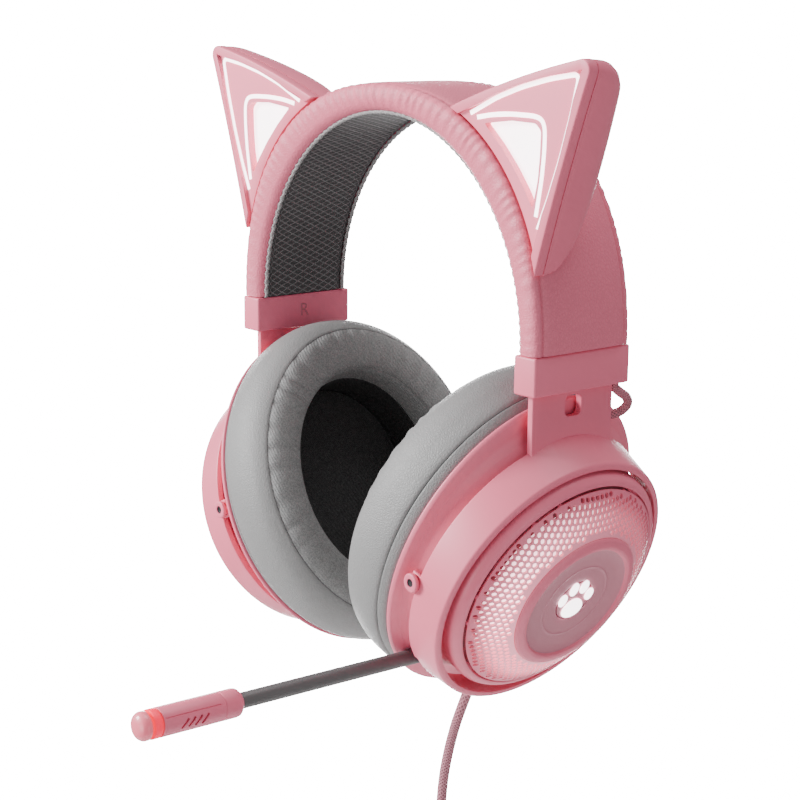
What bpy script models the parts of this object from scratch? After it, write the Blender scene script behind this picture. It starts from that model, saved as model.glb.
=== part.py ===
"""Cat-ear gaming headset: a sprung headband, two sliding yokes, two tilting ear cups, a pull-out microphone
and a cord.

Units are metres. +Z is up, the wearer faces -Y and the wearer's left ear is at +X. The origin is the middle
of the
headband's underside, where a head or a hook carries the headset. Everything on one side of the head is drawn
for the
left ear, in head coordinates, and mirrored in X for the right ear.
"""

import bpy
import bmesh
from math import asin, cos, degrees, pi, radians, sin, sqrt, tau
from mathutils import Matrix, Vector

MM = 0.001
GAP = 0.3 * MM                 # air left between pieces that touch

# --- Headband: an arch of nested layers, from the seam with the end caps up and over ----------------------
BAND_INNER_HALF = 65.3 * MM    # half the width between the ends, inside
BAND_RISE = 68.3 * MM          # height of the inside of the arch above the seam
BAND_THICK_END = 9.7 * MM
BAND_THICK_TOP = 9.0 * MM
BAND_DEPTH = 40.6 * MM         # front to back
BAND_STEPS = 36
INNER_POWER, OUTER_POWER = 2.0, 2.2    # 2 is an ellipse, more is squarer in the shoulders
COVER_WALL = 2.2 * MM
COVER_RIM = 3.3 * MM           # width of the rolled edge at the front and back
LINING_THICK = 2.3 * MM
SPRING_DEPTH, SPRING_THICK = 20 * MM, 0.9 * MM
FOAM_DEPTH, FOAM_THICK = 28 * MM, 2.0 * MM

# --- End caps ---------------------------------------------------------------------------------------------
CAP_HEIGHT = 12.3 * MM
CAP_THICK = 9.1 * MM
CAP_DEPTH = 40.8 * MM
CAP_CORNER = 2.5 * MM

# --- Sliding yokes ----------------------------------------------------------------------------------------
SLIDER_X = 69.5 * MM           # middle of the sliding plate
SLIDER_THICK = 2.2 * MM
SLIDER_TRAVEL_FIT = 0.35 * MM  # play around the tongue in its slot
PLATE_HALF = 17.2 * MM
TONGUE_HALF = 11.9 * MM
TONGUE_UP = 19 * MM            # how far the tongue stands above the seam when pushed in
WINDOW_WIDE, WINDOW_TALL = 6.7 * MM, 7.0 * MM
WINDOW_BELOW_CAP = 1.4 * MM

# --- Ear cups: s runs outward along the cup's axis from the flange, v runs up the cup ---------------------
CUP_CENTRE = (44.3 * MM, 0.0, -66.8 * MM)   # middle of the flange, below the cap seam
CUP_TILT = radians(22.9)
FLANGE_WIDE, FLANGE_TALL = 48.5 * MM, 56.0 * MM     # half sizes of the oval flange
FLANGE_THICK = 1.8 * MM
HOUSING_WALL = 1.9 * MM
HOUSING_DEEP = 12.0 * MM
BEZEL_RADIUS, BEZEL_OUT, BEZEL_WALL = 41.0 * MM, 24.5 * MM, 1.8 * MM
GRILLE_RADIUS, GRILLE_SEAT, GRILLE_WALL = 37.2 * MM, 25.0 * MM, 1.1 * MM
HUB_RADIUS, HUB_OUT = 24.0 * MM, 33.6 * MM
DISH_RADIUS, DISH_DEEP = 19.8 * MM, 1.6 * MM
EMBLEM_RADIUS, EMBLEM_THICK = 7.0 * MM, 1.0 * MM
DRIVER_RADIUS, DRIVER_DEEP, MAGNET_RADIUS = 25.0 * MM, 12.5 * MM, 13.0 * MM
BAFFLE_THICK = 1.8 * MM
LIGHT_RING_AT, LIGHT_RING_WALL = 17.5 * MM, 1.2 * MM
LIGHT_RING_IN, LIGHT_RING_OUT = 25.0 * MM, 35.0 * MM
EAR_HOLE_WIDE, EAR_HOLE_TALL = 29.0 * MM, 34.5 * MM  # half sizes of the cushion's inside
CUSHION_DEEP = 26.5 * MM
CUSHION_BULGE = 2.3 * MM
CUP_SIDES = 48

# --- Hoop of the yoke and its pivots ----------------------------------------------------------------------
HOOP_NEAR, HOOP_FAR = 8.7 * MM, 21.5 * MM            # its two edges along the cup's axis
HOOP_NEAR_WIDE, HOOP_NEAR_TALL = 46.3 * MM, 48.3 * MM
HOOP_FAR_RADIUS = 45.4 * MM
HOOP_WALL = 2.2 * MM
HOOP_DROP = 1.4 * MM           # the hoop's centre lies this much below the cup's axis
PIVOT_S = 7.2 * MM
PIVOT_RADIUS, PIVOT_HEAD = 1.9 * MM, 3.0 * MM
PIVOT_FIT = 0.3 * MM
TAB_HALF = 3.1 * MM
BOOM_RELIEF, CORD_RELIEF = 10.5 * MM, 11.3 * MM      # how far the notches for the boom and the cord reach in

# --- Cat ears: corners in the front plane, X and height above the seam ------------------------------------
EAR_TIP = (94.2 * MM, 88.4 * MM)
EAR_TIP_RADIUS = 3.2 * MM
EAR_INNER_ANGLE, EAR_LOWER_ANGLE = 65.3, 15.8         # degrees round the arch where the ear's two feet end
EAR_OFF_BAND = 0.35 * MM
EAR_FRONT = BAND_DEPTH / 2
EAR_RIM_WIDE, EAR_RIM_TALL = 3.3 * MM, 1.5 * MM
EAR_PLATE, EAR_SKIRT = 2.6 * MM, 4.2 * MM
EAR_BACK_DEEP, EAR_BACK_WALL = 19.0 * MM, 1.5 * MM
LIGHT_LINE = 1.5 * MM
LIGHT_PROUD = 0.15 * MM
LIGHT_SHEET = 1.2 * MM
EAR_BOARD = 1.0 * MM
OUTER_LIGHT = ((42.6, 69.7), (54.0, 74.8), (64.5, 78.2), (76.0, 80.9), (87.4, 82.6), (84.6, 71.0),
               (80.6, 58.0), (76.3, 46.6), (72.3, 37.6))
INNER_LIGHT = ((45.6, 68.6), (52.0, 69.7), (60.0, 70.2), (70.0, 70.1), (73.0, 69.2), (74.3, 66.6),
               (74.2, 60.0), (73.4, 52.0), (71.4, 41.2))
HOLE_CORNERS = ((48.6, 67.0), (60.0, 68.3), (70.4, 68.0), (72.6, 66.0), (72.4, 59.0), (71.8, 52.0),
                (69.9, 43.4), (66.5, 48.6), (61.5, 54.8), (55.5, 61.0))

# --- Microphone, in the left cup --------------------------------------------------------------------------
MIC_S, MIC_V = 5.6 * MM, -34.6 * MM
MIC_RISE = radians(2.2)
MIC_PORT_Y = -32.7 * MM
BOOM_RADIUS, BOOM_OUT, BOOM_TAIL = 2.45 * MM, 69.0 * MM, 15.5 * MM
BOOM_STOP_RADIUS, BOOM_STOP_LONG = 2.9 * MM, 1.6 * MM
CAPSULE_RADIUS, CAPSULE_LONG = 4.4 * MM, 28.2 * MM
MIC_RING_LONG, MUTE_LONG, MUTE_TRAVEL_GAP = 2.4 * MM, 3.6 * MM, 0.9 * MM
MUTE_STEM_RADIUS = 2.2 * MM

# --- Volume buttons at the back of the left cup -----------------------------------------------------------
BUTTON_S, BUTTON_RADIUS, BUTTON_PROUD = 4.6 * MM, 2.3 * MM, 1.1 * MM
BUTTON_ANGLES = {"volume_up": 112.0, "volume_down": 128.0}

# --- Cables -----------------------------------------------------------------------------------------------
JUMPER_RADIUS = 1.5 * MM
JUMPER_ROUTE = ((69.7, 18.9, -12.7), (69.7, 19.0, -14.4), (70.1, 21.4, -16.4), (70.3, 24.1, -18.3),
                (69.9, 25.0, -20.8), (68.9, 22.6, -23.0), (67.3, 18.9, -23.9))
CORD_RADIUS = 1.75 * MM
CORD_S = 5.2 * MM
GLAND_TOP, GLAND_LONG = 45.0 * MM, 13.0 * MM
CORD_LENGTH = 1.30
COIL_RADIUS = 21 * MM          # middle of its turns
COIL_CENTRE = (-12.6 * MM, 4.1 * MM, -282.0 * MM)
COIL_HALF_THICK = 5.4 * MM
CORD_ROUTE = ((23.4, 0.0, -197.3), (21.0, 0.1, -203.2), (18.4, 0.2, -210.2), (16.0, 0.3, -218.0),
              (14.0, 0.4, -226.5),
              (12.7, 0.5, -236.0), (12.1, 0.5, -248.0), (12.0, 0.5, -268.4))
TAIL_ROUTE = ((4.8, 11.6, -281.0), (4.8, 11.6, -292.0), (4.8, 11.6, -304.0), (4.8, 11.6, -316.3))
PLUG_TOP = -316.6 * MM
PLUG_GRIP = (8.0 * MM, 4.2 * MM, 22.0 * MM)          # half width, half thickness, length
PLUG_SHELL = (6.0 * MM, 2.25 * MM, 18.5 * MM)

SEAM = -BAND_RISE
SIDES = {"left": 1, "right": -1}


def material(name, colour, roughness, metallic=0.0):
    """A Principled material of one colour."""
    made = bpy.data.materials.new(name)
    made.use_nodes = True
    shader = made.node_tree.nodes["Principled BSDF"]
    shader.inputs["Base Color"].default_value = (*colour, 1.0)
    shader.inputs["Roughness"].default_value = roughness
    shader.inputs["Metallic"].default_value = metallic
    return made


def clear_scene():
    for obj in list(bpy.data.objects):
        bpy.data.objects.remove(obj, do_unlink=True)


def make_materials():
    return {
        "pink_shell": material("pink_shell", (0.78, 0.30, 0.36), 0.45),
        "pink_leather": material("pink_leather", (0.75, 0.30, 0.36), 0.6),
        "pink_gloss": material("pink_gloss", (0.85, 0.38, 0.44), 0.2),
        "grey_leather": material("grey_leather", (0.33, 0.34, 0.34), 0.5),
        "grey_mesh": material("grey_mesh", (0.10, 0.10, 0.10), 0.8),
        "black_cloth": material("black_cloth", (0.01, 0.01, 0.01), 0.9),
        "dark_rubber": material("dark_rubber", (0.13, 0.11, 0.12), 0.6),
        "light_guide": material("light_guide", (0.95, 0.95, 0.95), 0.3),
        "red_light": material("red_light", (0.9, 0.05, 0.05), 0.3),
        "steel": material("steel", (0.6, 0.6, 0.6), 0.3, 1.0),
        "dark_plastic": material("dark_plastic", (0.05, 0.05, 0.05), 0.5),
        "circuit": material("circuit", (0.05, 0.20, 0.10), 0.5),
        "foam": material("foam", (0.10, 0.10, 0.10), 0.9),
        "braid": material("braid", (0.45, 0.22, 0.26), 0.8),
    }


# --- Helpers ----------------------------------------------------------------------------------------------
def empty(name, place, tilt=0.0, parent=None):
    """An empty on a joint's axis. Its tilt is about Y, and its place is in head coordinates."""
    made = bpy.data.objects.new(name, None)
    bpy.context.collection.objects.link(made)
    made.parent = parent
    world = Matrix.Translation(Vector(place)) @ Matrix.Rotation(tilt, 4, "Y")
    made.matrix_local = world_of(parent).inverted() @ world
    made["world"] = [value for row in world for value in row]
    return made


def world_of(parent):
    """The place and turn of a joint's empty in head coordinates."""
    if parent is None:
        return Matrix.Identity(4)
    flat = list(parent["world"])
    return Matrix([flat[i:i + 4] for i in range(0, 16, 4)])


def add(name, shape, finish, parent=None, side="left", smooth=True, helper=False):
    """Makes an object of a bmesh drawn in left-ear head coordinates, mirrored for the right ear."""
    if SIDES[side] < 0:
        bmesh.ops.scale(shape, vec=(-1, 1, 1), verts=shape.verts)
    bmesh.ops.recalc_face_normals(shape, faces=shape.faces)
    bmesh.ops.transform(shape, matrix=world_of(parent).inverted(), verts=shape.verts)
    mesh = bpy.data.meshes.new(name)
    shape.to_mesh(mesh)
    shape.free()
    if smooth:
        mesh.shade_smooth()
        mesh.set_sharp_from_angle(angle=radians(35))
    made = bpy.data.objects.new(name, mesh)
    bpy.context.collection.objects.link(made)
    made.parent = parent
    if helper:
        made.hide_render = True
        made.display_type = "WIRE"
    else:
        mesh.materials.append(finish)
    return made


def boolean(target, tool, operation="DIFFERENCE"):
    cut = target.modifiers.new(tool.name, "BOOLEAN")
    cut.operation = operation
    cut.solver = "EXACT"
    cut.object = tool


def skin(rings, closed=False):
    """A body through rings of equally many points. A closed one joins its last ring to its first."""
    shape = bmesh.new()
    loops = [[shape.verts.new(point) for point in ring] for ring in rings]
    pairs = list(zip(loops, loops[1:]))
    if closed:
        pairs.append((loops[-1], loops[0]))
    for near, far in pairs:
        for i in range(len(near)):
            j = (i + 1) % len(near)
            shape.faces.new((near[i], near[j], far[j], far[i]))
    if not closed:
        shape.faces.new(loops[0])
        shape.faces.new(loops[-1])
    return shape


def box(low, high, bevel=0.0, segments=2):
    shape = bmesh.new()
    bmesh.ops.create_cube(shape, size=1.0)
    size = Vector(high) - Vector(low)
    bmesh.ops.scale(shape, vec=size, verts=shape.verts)
    bmesh.ops.translate(shape, vec=(Vector(low) + Vector(high)) / 2, verts=shape.verts)
    if bevel:
        bmesh.ops.bevel(shape, geom=shape.edges[:], offset=bevel, segments=segments, profile=0.5,
                        affect="EDGES")
    return shape


def turned(profile, start, axis, sides=24):
    """A solid turned about an axis. The profile is (distance along the axis, radius), and its ends are
    capped."""
    axis = Vector(axis).normalized()
    across = axis.orthogonal().normalized()
    beside = axis.cross(across)
    rings = []
    for along, radius in profile:
        centre = Vector(start) + axis * along
        rings.append([centre + radius * (across * cos(tau * i / sides) + beside * sin(tau * i / sides))
                      for i in range(sides)])
    return skin(rings)


def turned_ring(profile, start, axis, sides=24):
    """A ring turned about an axis: the profile is a closed loop that never meets the axis."""
    axis = Vector(axis).normalized()
    across = axis.orthogonal().normalized()
    beside = axis.cross(across)
    rings = []
    for along, radius in profile:
        centre = Vector(start) + axis * along
        rings.append([centre + radius * (across * cos(tau * i / sides) + beside * sin(tau * i / sides))
                      for i in range(sides)])
    return skin(rings, closed=True)


def smooth_route(points, step):
    """Points every step along a smooth curve through the given ones (Catmull-Rom)."""
    points = [Vector(point) * MM for point in points]
    ends = [2 * points[0] - points[1], *points, 2 * points[-1] - points[-2]]
    fine = []
    for a, b, c, d in zip(ends, ends[1:], ends[2:], ends[3:]):
        for i in range(12):
            t = i / 12
            fine.append(0.5 * (2 * b + (c - a) * t + (2 * a - 5 * b + 4 * c - d) * t ** 2
                               + (3 * b - a - 3 * c + d) * t ** 3))
    fine.append(points[-1])
    out, left = [fine[0]], step
    for near, far in zip(fine, fine[1:]):
        run = (far - near).length
        while run >= left:
            near = near + (far - near).normalized() * left
            out.append(near)
            run -= left
            left = step
        left -= run
    if (out[-1] - fine[-1]).length < step * 0.4:
        out.pop()
    return [*out, fine[-1]]


def tube(name, route, radius, finish, parent=None, side="left"):
    """A cord's tube: a POLY curve in head coordinates with a round bevel and filled ends."""
    curve = bpy.data.curves.new(name, "CURVE")
    curve.dimensions = "3D"
    curve.bevel_depth = radius
    curve.bevel_resolution = 2
    curve.use_fill_caps = True
    spline = curve.splines.new("POLY")
    spline.points.add(len(route) - 1)
    back = world_of(parent).inverted()
    for point, place in zip(spline.points, route):
        point.co = (*(back @ Vector((SIDES[side] * place.x, place.y, place.z))), 1.0)
    curve.materials.append(finish)
    made = bpy.data.objects.new(name, curve)
    bpy.context.collection.objects.link(made)
    made.parent = parent
    return made


# --- Places on the headband and the cups ------------------------------------------------------------------
def arch_point(angle, depth, y=0.0, off=0.0):
    """A point of the headband. angle is in degrees from the left end; depth is metres in from the outer
    surface,
    or, as a share with off=None, from 0 inside to 1 outside; off moves it outward."""
    outer = arch_curve(angle, 1.0)
    inner = arch_curve(angle, 0.0)
    out = (outer - inner).normalized()
    place = outer - out * depth + out * off
    return Vector((place.x, y, place.z))


def arch_curve(angle, share):
    """The arch's curve between its inner surface (share 0) and its outer one (share 1)."""
    half = BAND_INNER_HALF + share * BAND_THICK_END
    rise = BAND_RISE + share * BAND_THICK_TOP
    power = INNER_POWER + share * (OUTER_POWER - INNER_POWER)
    c, s = cos(radians(angle)), sin(radians(angle))
    x = half * abs(c) ** (2 / power) * (1 if c >= 0 else -1)
    z = rise * abs(s) ** (2 / power) + SEAM
    return Vector((x, 0.0, z))


def arch_share(angle, share, y):
    place = arch_curve(angle, share)
    return Vector((place.x, y, place.z))


def arch_sweep(section, first=0.0, last=180.0, steps=BAND_STEPS):
    """A closed body swept round the arch: section(angle) gives its points, in order round it."""
    return skin([section(first + (last - first) * i / steps) for i in range(steps + 1)])


def cup_point(s, y, v):
    """A point of the left cup in head coordinates."""
    x0, y0, z0 = CUP_CENTRE
    return Vector((x0 + s * cos(CUP_TILT) + v * sin(CUP_TILT), y0 + y,
                   z0 + SEAM - s * sin(CUP_TILT) + v * cos(CUP_TILT)))


def cup_vector(s, y, v):
    return cup_point(s, y, v) - cup_point(0, 0, 0)


def cup_ring(s, wide, tall, drop=0.0, sides=CUP_SIDES):
    """Points round the cup at s, starting at its top and going towards its back."""
    return [cup_point(s, wide * sin(tau * i / sides),
                      tall * cos(tau * i / sides) - drop) for i in range(sides)]


def cup_lathe(profile, closed=True, sides=CUP_SIDES):
    """An oval ring or disc of the cup, through (s, half width, half height) sections."""
    return skin([cup_ring(s, wide, tall, sides=sides) for s, wide, tall in profile], closed=closed)


# --- Headband ---------------------------------------------------------------------------------------------
def cover_section(angle):
    """The leather cover: an upside-down channel whose two edges roll down to the lining."""
    half = BAND_DEPTH / 2
    thick = (arch_curve(angle, 1.0) - arch_curve(angle, 0.0)).length
    inside = half - COVER_RIM
    outer = [(0.0, 14 * MM), (0.3 * MM, 17.5 * MM), (1.5 * MM, half - 0.7 * MM), (3.6 * MM, half),
             (thick - 1.4 * MM, half), (thick, half - 1.2 * MM)]
    under = [(thick, inside), (COVER_WALL, inside)]
    one_side = outer + under
    points = [arch_point(angle, depth, y) for depth, y in one_side]
    points += [arch_point(angle, depth, -y) for depth, y in reversed(one_side)]
    return points


def lining_section(angle):
    half = BAND_DEPTH / 2 - COVER_RIM - GAP
    share = LINING_THICK / (arch_curve(angle, 1.0) - arch_curve(angle, 0.0)).length
    return [arch_share(angle, 0.0, half - 1 * MM), arch_share(angle, share / 3, half),
            arch_share(angle, share, half),
            arch_share(angle, share, -half), arch_share(angle, share / 3, -half), arch_share(angle, 0.0,
                                                                                             1 * MM - half)]


def strip_section(top, thick, half):
    """The section of a plain strip whose upper face lies top below the headband's outer surface."""
    def section(angle):
        return [arch_point(angle, top, half), arch_point(angle, top + thick, half),
                arch_point(angle, top + thick, -half), arch_point(angle, top, -half)]
    return section


def make_headband(m):
    add("headband_cover", arch_sweep(cover_section), m["pink_leather"])
    add("headband_lining", arch_sweep(lining_section), m["grey_mesh"])
    spring = strip_section(COVER_WALL + GAP, SPRING_THICK, SPRING_DEPTH / 2)
    add("headband_spring", arch_sweep(spring, 24, 156, 24), m["steel"])
    foam = strip_section(COVER_WALL + SPRING_THICK + 2 * GAP, FOAM_THICK, FOAM_DEPTH / 2)
    add("headband_foam", arch_sweep(foam, 26, 154, 24), m["foam"])


def make_end_cap(side, m):
    """The moulded end cap: a rounded block with the slot that the yoke's tongue slides in."""
    low = (BAND_INNER_HALF, -CAP_DEPTH / 2, SEAM - CAP_HEIGHT)
    high = (BAND_INNER_HALF + CAP_THICK, CAP_DEPTH / 2, SEAM - GAP)
    shape = box(low, high)
    uprights = [edge for edge in shape.edges if abs(edge.verts[0].co.z - edge.verts[1].co.z) > CAP_HEIGHT / 2]
    bmesh.ops.bevel(shape, geom=uprights, offset=CAP_CORNER, segments=4, profile=0.5, affect="EDGES")
    foot = [edge for edge in shape.edges if max(v.co.z for v in edge.verts) < SEAM - CAP_HEIGHT + GAP]
    bmesh.ops.bevel(shape, geom=foot, offset=0.8 * MM, segments=2, profile=0.5, affect="EDGES")
    cap = add(f"end_cap_{side}", shape, m["pink_shell"], side=side)
    play = SLIDER_THICK / 2 + SLIDER_TRAVEL_FIT
    slot = box((SLIDER_X - play, -TONGUE_HALF - SLIDER_TRAVEL_FIT, SEAM - CAP_HEIGHT - 5 * MM),
               (SLIDER_X + play, TONGUE_HALF + SLIDER_TRAVEL_FIT, SEAM + 5 * MM))
    boolean(cap, add(f"slot_{side}", slot, None, side=side, helper=True))


# --- Cat ears ---------------------------------------------------------------------------------------------
def band_edge(angle, off):
    """X and Z on the headband's outer surface, moved out by off."""
    place = arch_point(angle, 0.0, 0.0, off)
    return place.x, place.z


def bowed(a, b, bow, count):
    """Points from a to b, without b, on a shallow arc that stands bow to the left of the straight line."""
    run = Vector((b[0] - a[0], b[1] - a[1]))
    left = Vector((-run.y, run.x)).normalized()
    out = []
    for i in range(count):
        t = i / count
        place = Vector(a) + run * t + left * bow * 4 * t * (1 - t)
        out.append((place.x, place.y))
    return out


def ear_outline(inset=0.0, off=EAR_OFF_BAND, foot=8, edge=6, tip=5):
    """The ear's outline in X and Z, going up the outer edge, round the tip, down the inner edge and along
    the band.
    inset draws the two free edges in, and off is the gap to the headband."""
    low = band_edge(EAR_LOWER_ANGLE + degrees(inset / BAND_INNER_HALF) * 2.2, off)
    high = band_edge(EAR_INNER_ANGLE - degrees(inset / BAND_INNER_HALF) * 2.2, off)
    corner = (EAR_TIP[0], EAR_TIP[1] + SEAM)
    into = (Vector(low) - Vector(corner)).normalized() + (Vector(high) - Vector(corner)).normalized()
    half_angle = (Vector(low) - Vector(corner)).angle(Vector(high) - Vector(corner)) / 2
    into.normalize()
    radius = max(EAR_TIP_RADIUS - inset * 0.6, 0.6 * MM)
    point = Vector(corner) + into * inset / sin(half_angle)
    centre = point + into * radius / sin(half_angle)
    out_edge = (Vector(low) - point).normalized()
    in_edge = (Vector(high) - point).normalized()
    start = point + out_edge * (centre - point).dot(out_edge)
    end = point + in_edge * (centre - point).dot(in_edge)
    outline = bowed(low, start, 0.6 * MM, edge)
    first, last = start - centre, end - centre
    for i in range(tip):
        turn = (i / tip) * first.angle(last)
        outline.append(tuple(centre + Matrix.Rotation(turn, 2) @ first))
    outline += bowed(end, high, -1.2 * MM, edge)
    step = (EAR_LOWER_ANGLE - EAR_INNER_ANGLE) / foot
    span = (degrees(inset / BAND_INNER_HALF) * 2.2)
    for i in range(foot):
        angle = EAR_INNER_ANGLE - span + (EAR_LOWER_ANGLE - EAR_INNER_ANGLE + 2 * span) * i / foot
        outline.append(band_edge(angle, off))
    return outline


def prism(outline, front, back):
    """A body between two depths y, with its outline in X and Z."""
    return skin([[Vector((x, y, z)) for x, z in outline] for y in (front, back)])


def above_seam(points):
    """A list of millimetre points, given as X and the height above the seam, in metres."""
    return [(x * MM, z * MM + SEAM) for x, z in points]


def ribbon(points, width):
    """The outline of a line of constant width along the points."""
    left, right = [], []
    for i, point in enumerate(points):
        before = Vector(points[max(i - 1, 0)])
        after = Vector(points[min(i + 1, len(points) - 1)])
        here = Vector(point)
        first = (here - before).normalized() if i else (after - here).normalized()
        second = (after - here).normalized() if i < len(points) - 1 else first
        along = (first + second).normalized()
        across = Vector((-along.y, along.x)) * (width / 2) / max(along.dot(first), 0.5)
        left.append(tuple(here + across))
        right.append(tuple(here - across))
    return left + right[::-1]


def grown(outline, amount):
    """An outline moved outward along its corners' normals. The outline runs anticlockwise in X and Z."""
    count = len(outline)
    out = []
    area = sum(outline[i][0] * outline[(i + 1) % count][1] - outline[(i + 1) % count][0] * outline[i][1]
               for i in range(count))
    way = 1 if area > 0 else -1
    for i in range(count):
        before, here, after = (Vector(outline[(i + k) % count]) for k in (-1, 0, 1))
        along = ((here - before).normalized() + (after - here).normalized()).normalized()
        push = Vector((along.y, -along.x)) * way
        share = max(along.dot((here - before).normalized()), 0.45)
        out.append(tuple(here + push * amount / share))
    return out


def ear_dome(outline_inset, front, deep, off, fore=0.0):
    """The ear's domed back: full depth over the band, curving forward to the free edges. It reaches fore in
    front."""
    feet, rows = 14, 7
    free = ear_outline(outline_inset, off)
    edge_count = len(free) - 8
    free_edge = free[:edge_count + 1]
    lengths = [0.0]
    for a, b in zip(free_edge, free_edge[1:]):
        lengths.append(lengths[-1] + (Vector(b) - Vector(a)).length)
    span = degrees(outline_inset / BAND_INNER_HALF) * 2.2

    def on_edge(t):
        want = t * lengths[-1]
        for i in range(len(lengths) - 1):
            if want <= lengths[i + 1] or i == len(lengths) - 2:
                share = (want - lengths[i]) / (lengths[i + 1] - lengths[i])
                return Vector(free_edge[i]).lerp(Vector(free_edge[i + 1]), share)

    def depth(t, h):
        swell = (4 * t * (1 - t)) ** 0.55
        return deep * swell * sqrt(max(1 - h ** 2.6, 0.0)) * (1 - 0.15 * h)

    shape = bmesh.new()
    grid = []
    for i in range(feet + 1):
        t = i / feet
        base = Vector(band_edge(EAR_LOWER_ANGLE + span + (EAR_INNER_ANGLE - EAR_LOWER_ANGLE - 2 * span) * t,
                                off))
        free_point = on_edge(t)
        row = []
        for j in range(rows + 1):
            h = sin(j / rows * pi / 2)
            place = base.lerp(free_point, h)
            row.append(shape.verts.new((place.x, front + depth(t, h), place.y)))
        grid.append(row)
    for i in range(feet):
        for j in range(rows):
            corners = (grid[i][j], grid[i + 1][j], grid[i + 1][j + 1], grid[i][j + 1])
            shape.faces.new(corners)
    border = [row[0] for row in grid] + [row[-1] for row in reversed(grid)]
    face = [shape.verts.new((vert.co.x, front - fore, vert.co.z)) for vert in border]
    for i in range(len(border)):
        j = (i + 1) % len(border)
        shape.faces.new((border[i], border[j], face[j], face[i]))
    bmesh.ops.remove_doubles(shape, verts=shape.verts, dist=1e-6)
    edges = [edge for edge in shape.edges if edge.is_boundary]
    bmesh.ops.holes_fill(shape, edges=edges, sides=0)
    return shape


def make_ear(side, m):
    front = -EAR_FRONT
    panel = front + EAR_RIM_TALL
    plate_back = front + EAR_RIM_TALL + EAR_PLATE - 0.5 * MM
    skirt_back = panel + EAR_SKIRT
    frame = add(f"ear_frame_{side}", prism(ear_outline(), front, plate_back), m["pink_shell"], side=side)
    room = ear_dome(EAR_BACK_WALL + GAP, plate_back, EAR_BACK_DEEP - EAR_BACK_WALL - GAP,
                    EAR_OFF_BAND + EAR_BACK_WALL + GAP, fore=6 * MM)
    room = add(f"ear_room_{side}", room, None, side=side, helper=True)
    block = prism(ear_outline(EAR_BACK_WALL + 2 * GAP, off=EAR_OFF_BAND + EAR_BACK_WALL + 2 * GAP),
                  front + EAR_RIM_TALL + GAP, skirt_back)
    block = add(f"ear_block_{side}", block, None, side=side, helper=True)
    boolean(block, room, "INTERSECT")
    boolean(frame, block, "UNION")
    recess = prism(ear_outline(EAR_RIM_WIDE, off=-4 * MM), front - 1 * MM, panel)
    boolean(frame, add(f"ear_recess_{side}", recess, None, side=side, helper=True))
    hole = above_seam(HOLE_CORNERS)
    window = prism(hole, front - 2 * MM, skirt_back + 1 * MM)
    boolean(frame, add(f"ear_hole_{side}", window, None, side=side, helper=True))
    guide_back = skirt_back + GAP + LIGHT_SHEET
    for label, line in (("outer", OUTER_LIGHT), ("inner", INNER_LIGHT)):
        slot = prism(ribbon(above_seam(line), LIGHT_LINE + 2 * GAP), front - 1 * MM, skirt_back + 1 * MM)
        boolean(frame, add(f"ear_slot_{label}_{side}", slot, None, side=side, helper=True))
    sheet = prism(ear_outline(EAR_BACK_WALL + 3 * GAP + 1 * MM, off=EAR_OFF_BAND + 1.6 * MM),
                  skirt_back + GAP, guide_back)
    guide = add(f"ear_light_guide_{side}", sheet, m["light_guide"], side=side)
    for label, line in (("outer", OUTER_LIGHT), ("inner", INNER_LIGHT)):
        rib = prism(ribbon(above_seam(line), LIGHT_LINE), panel - LIGHT_PROUD, guide_back - 0.4 * MM)
        boolean(guide, add(f"ear_rib_{label}_{side}", rib, None, side=side, helper=True), "UNION")
    boolean(guide, room, "INTERSECT")
    board = prism(ear_outline(EAR_BACK_WALL + 5 * MM, off=EAR_OFF_BAND + 5 * MM),
                  guide_back + GAP, guide_back + GAP + EAR_BOARD)
    add(f"ear_light_board_{side}", board, m["circuit"], side=side)
    back = add(f"ear_back_{side}", ear_dome(0.0, plate_back + GAP, EAR_BACK_DEEP, EAR_OFF_BAND),
               m["pink_shell"],
               side=side)
    hollow = ear_dome(EAR_BACK_WALL, plate_back, EAR_BACK_DEEP - EAR_BACK_WALL, EAR_OFF_BAND + EAR_BACK_WALL)
    boolean(back, add(f"ear_hollow_{side}", hollow, None, side=side, helper=True))


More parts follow.
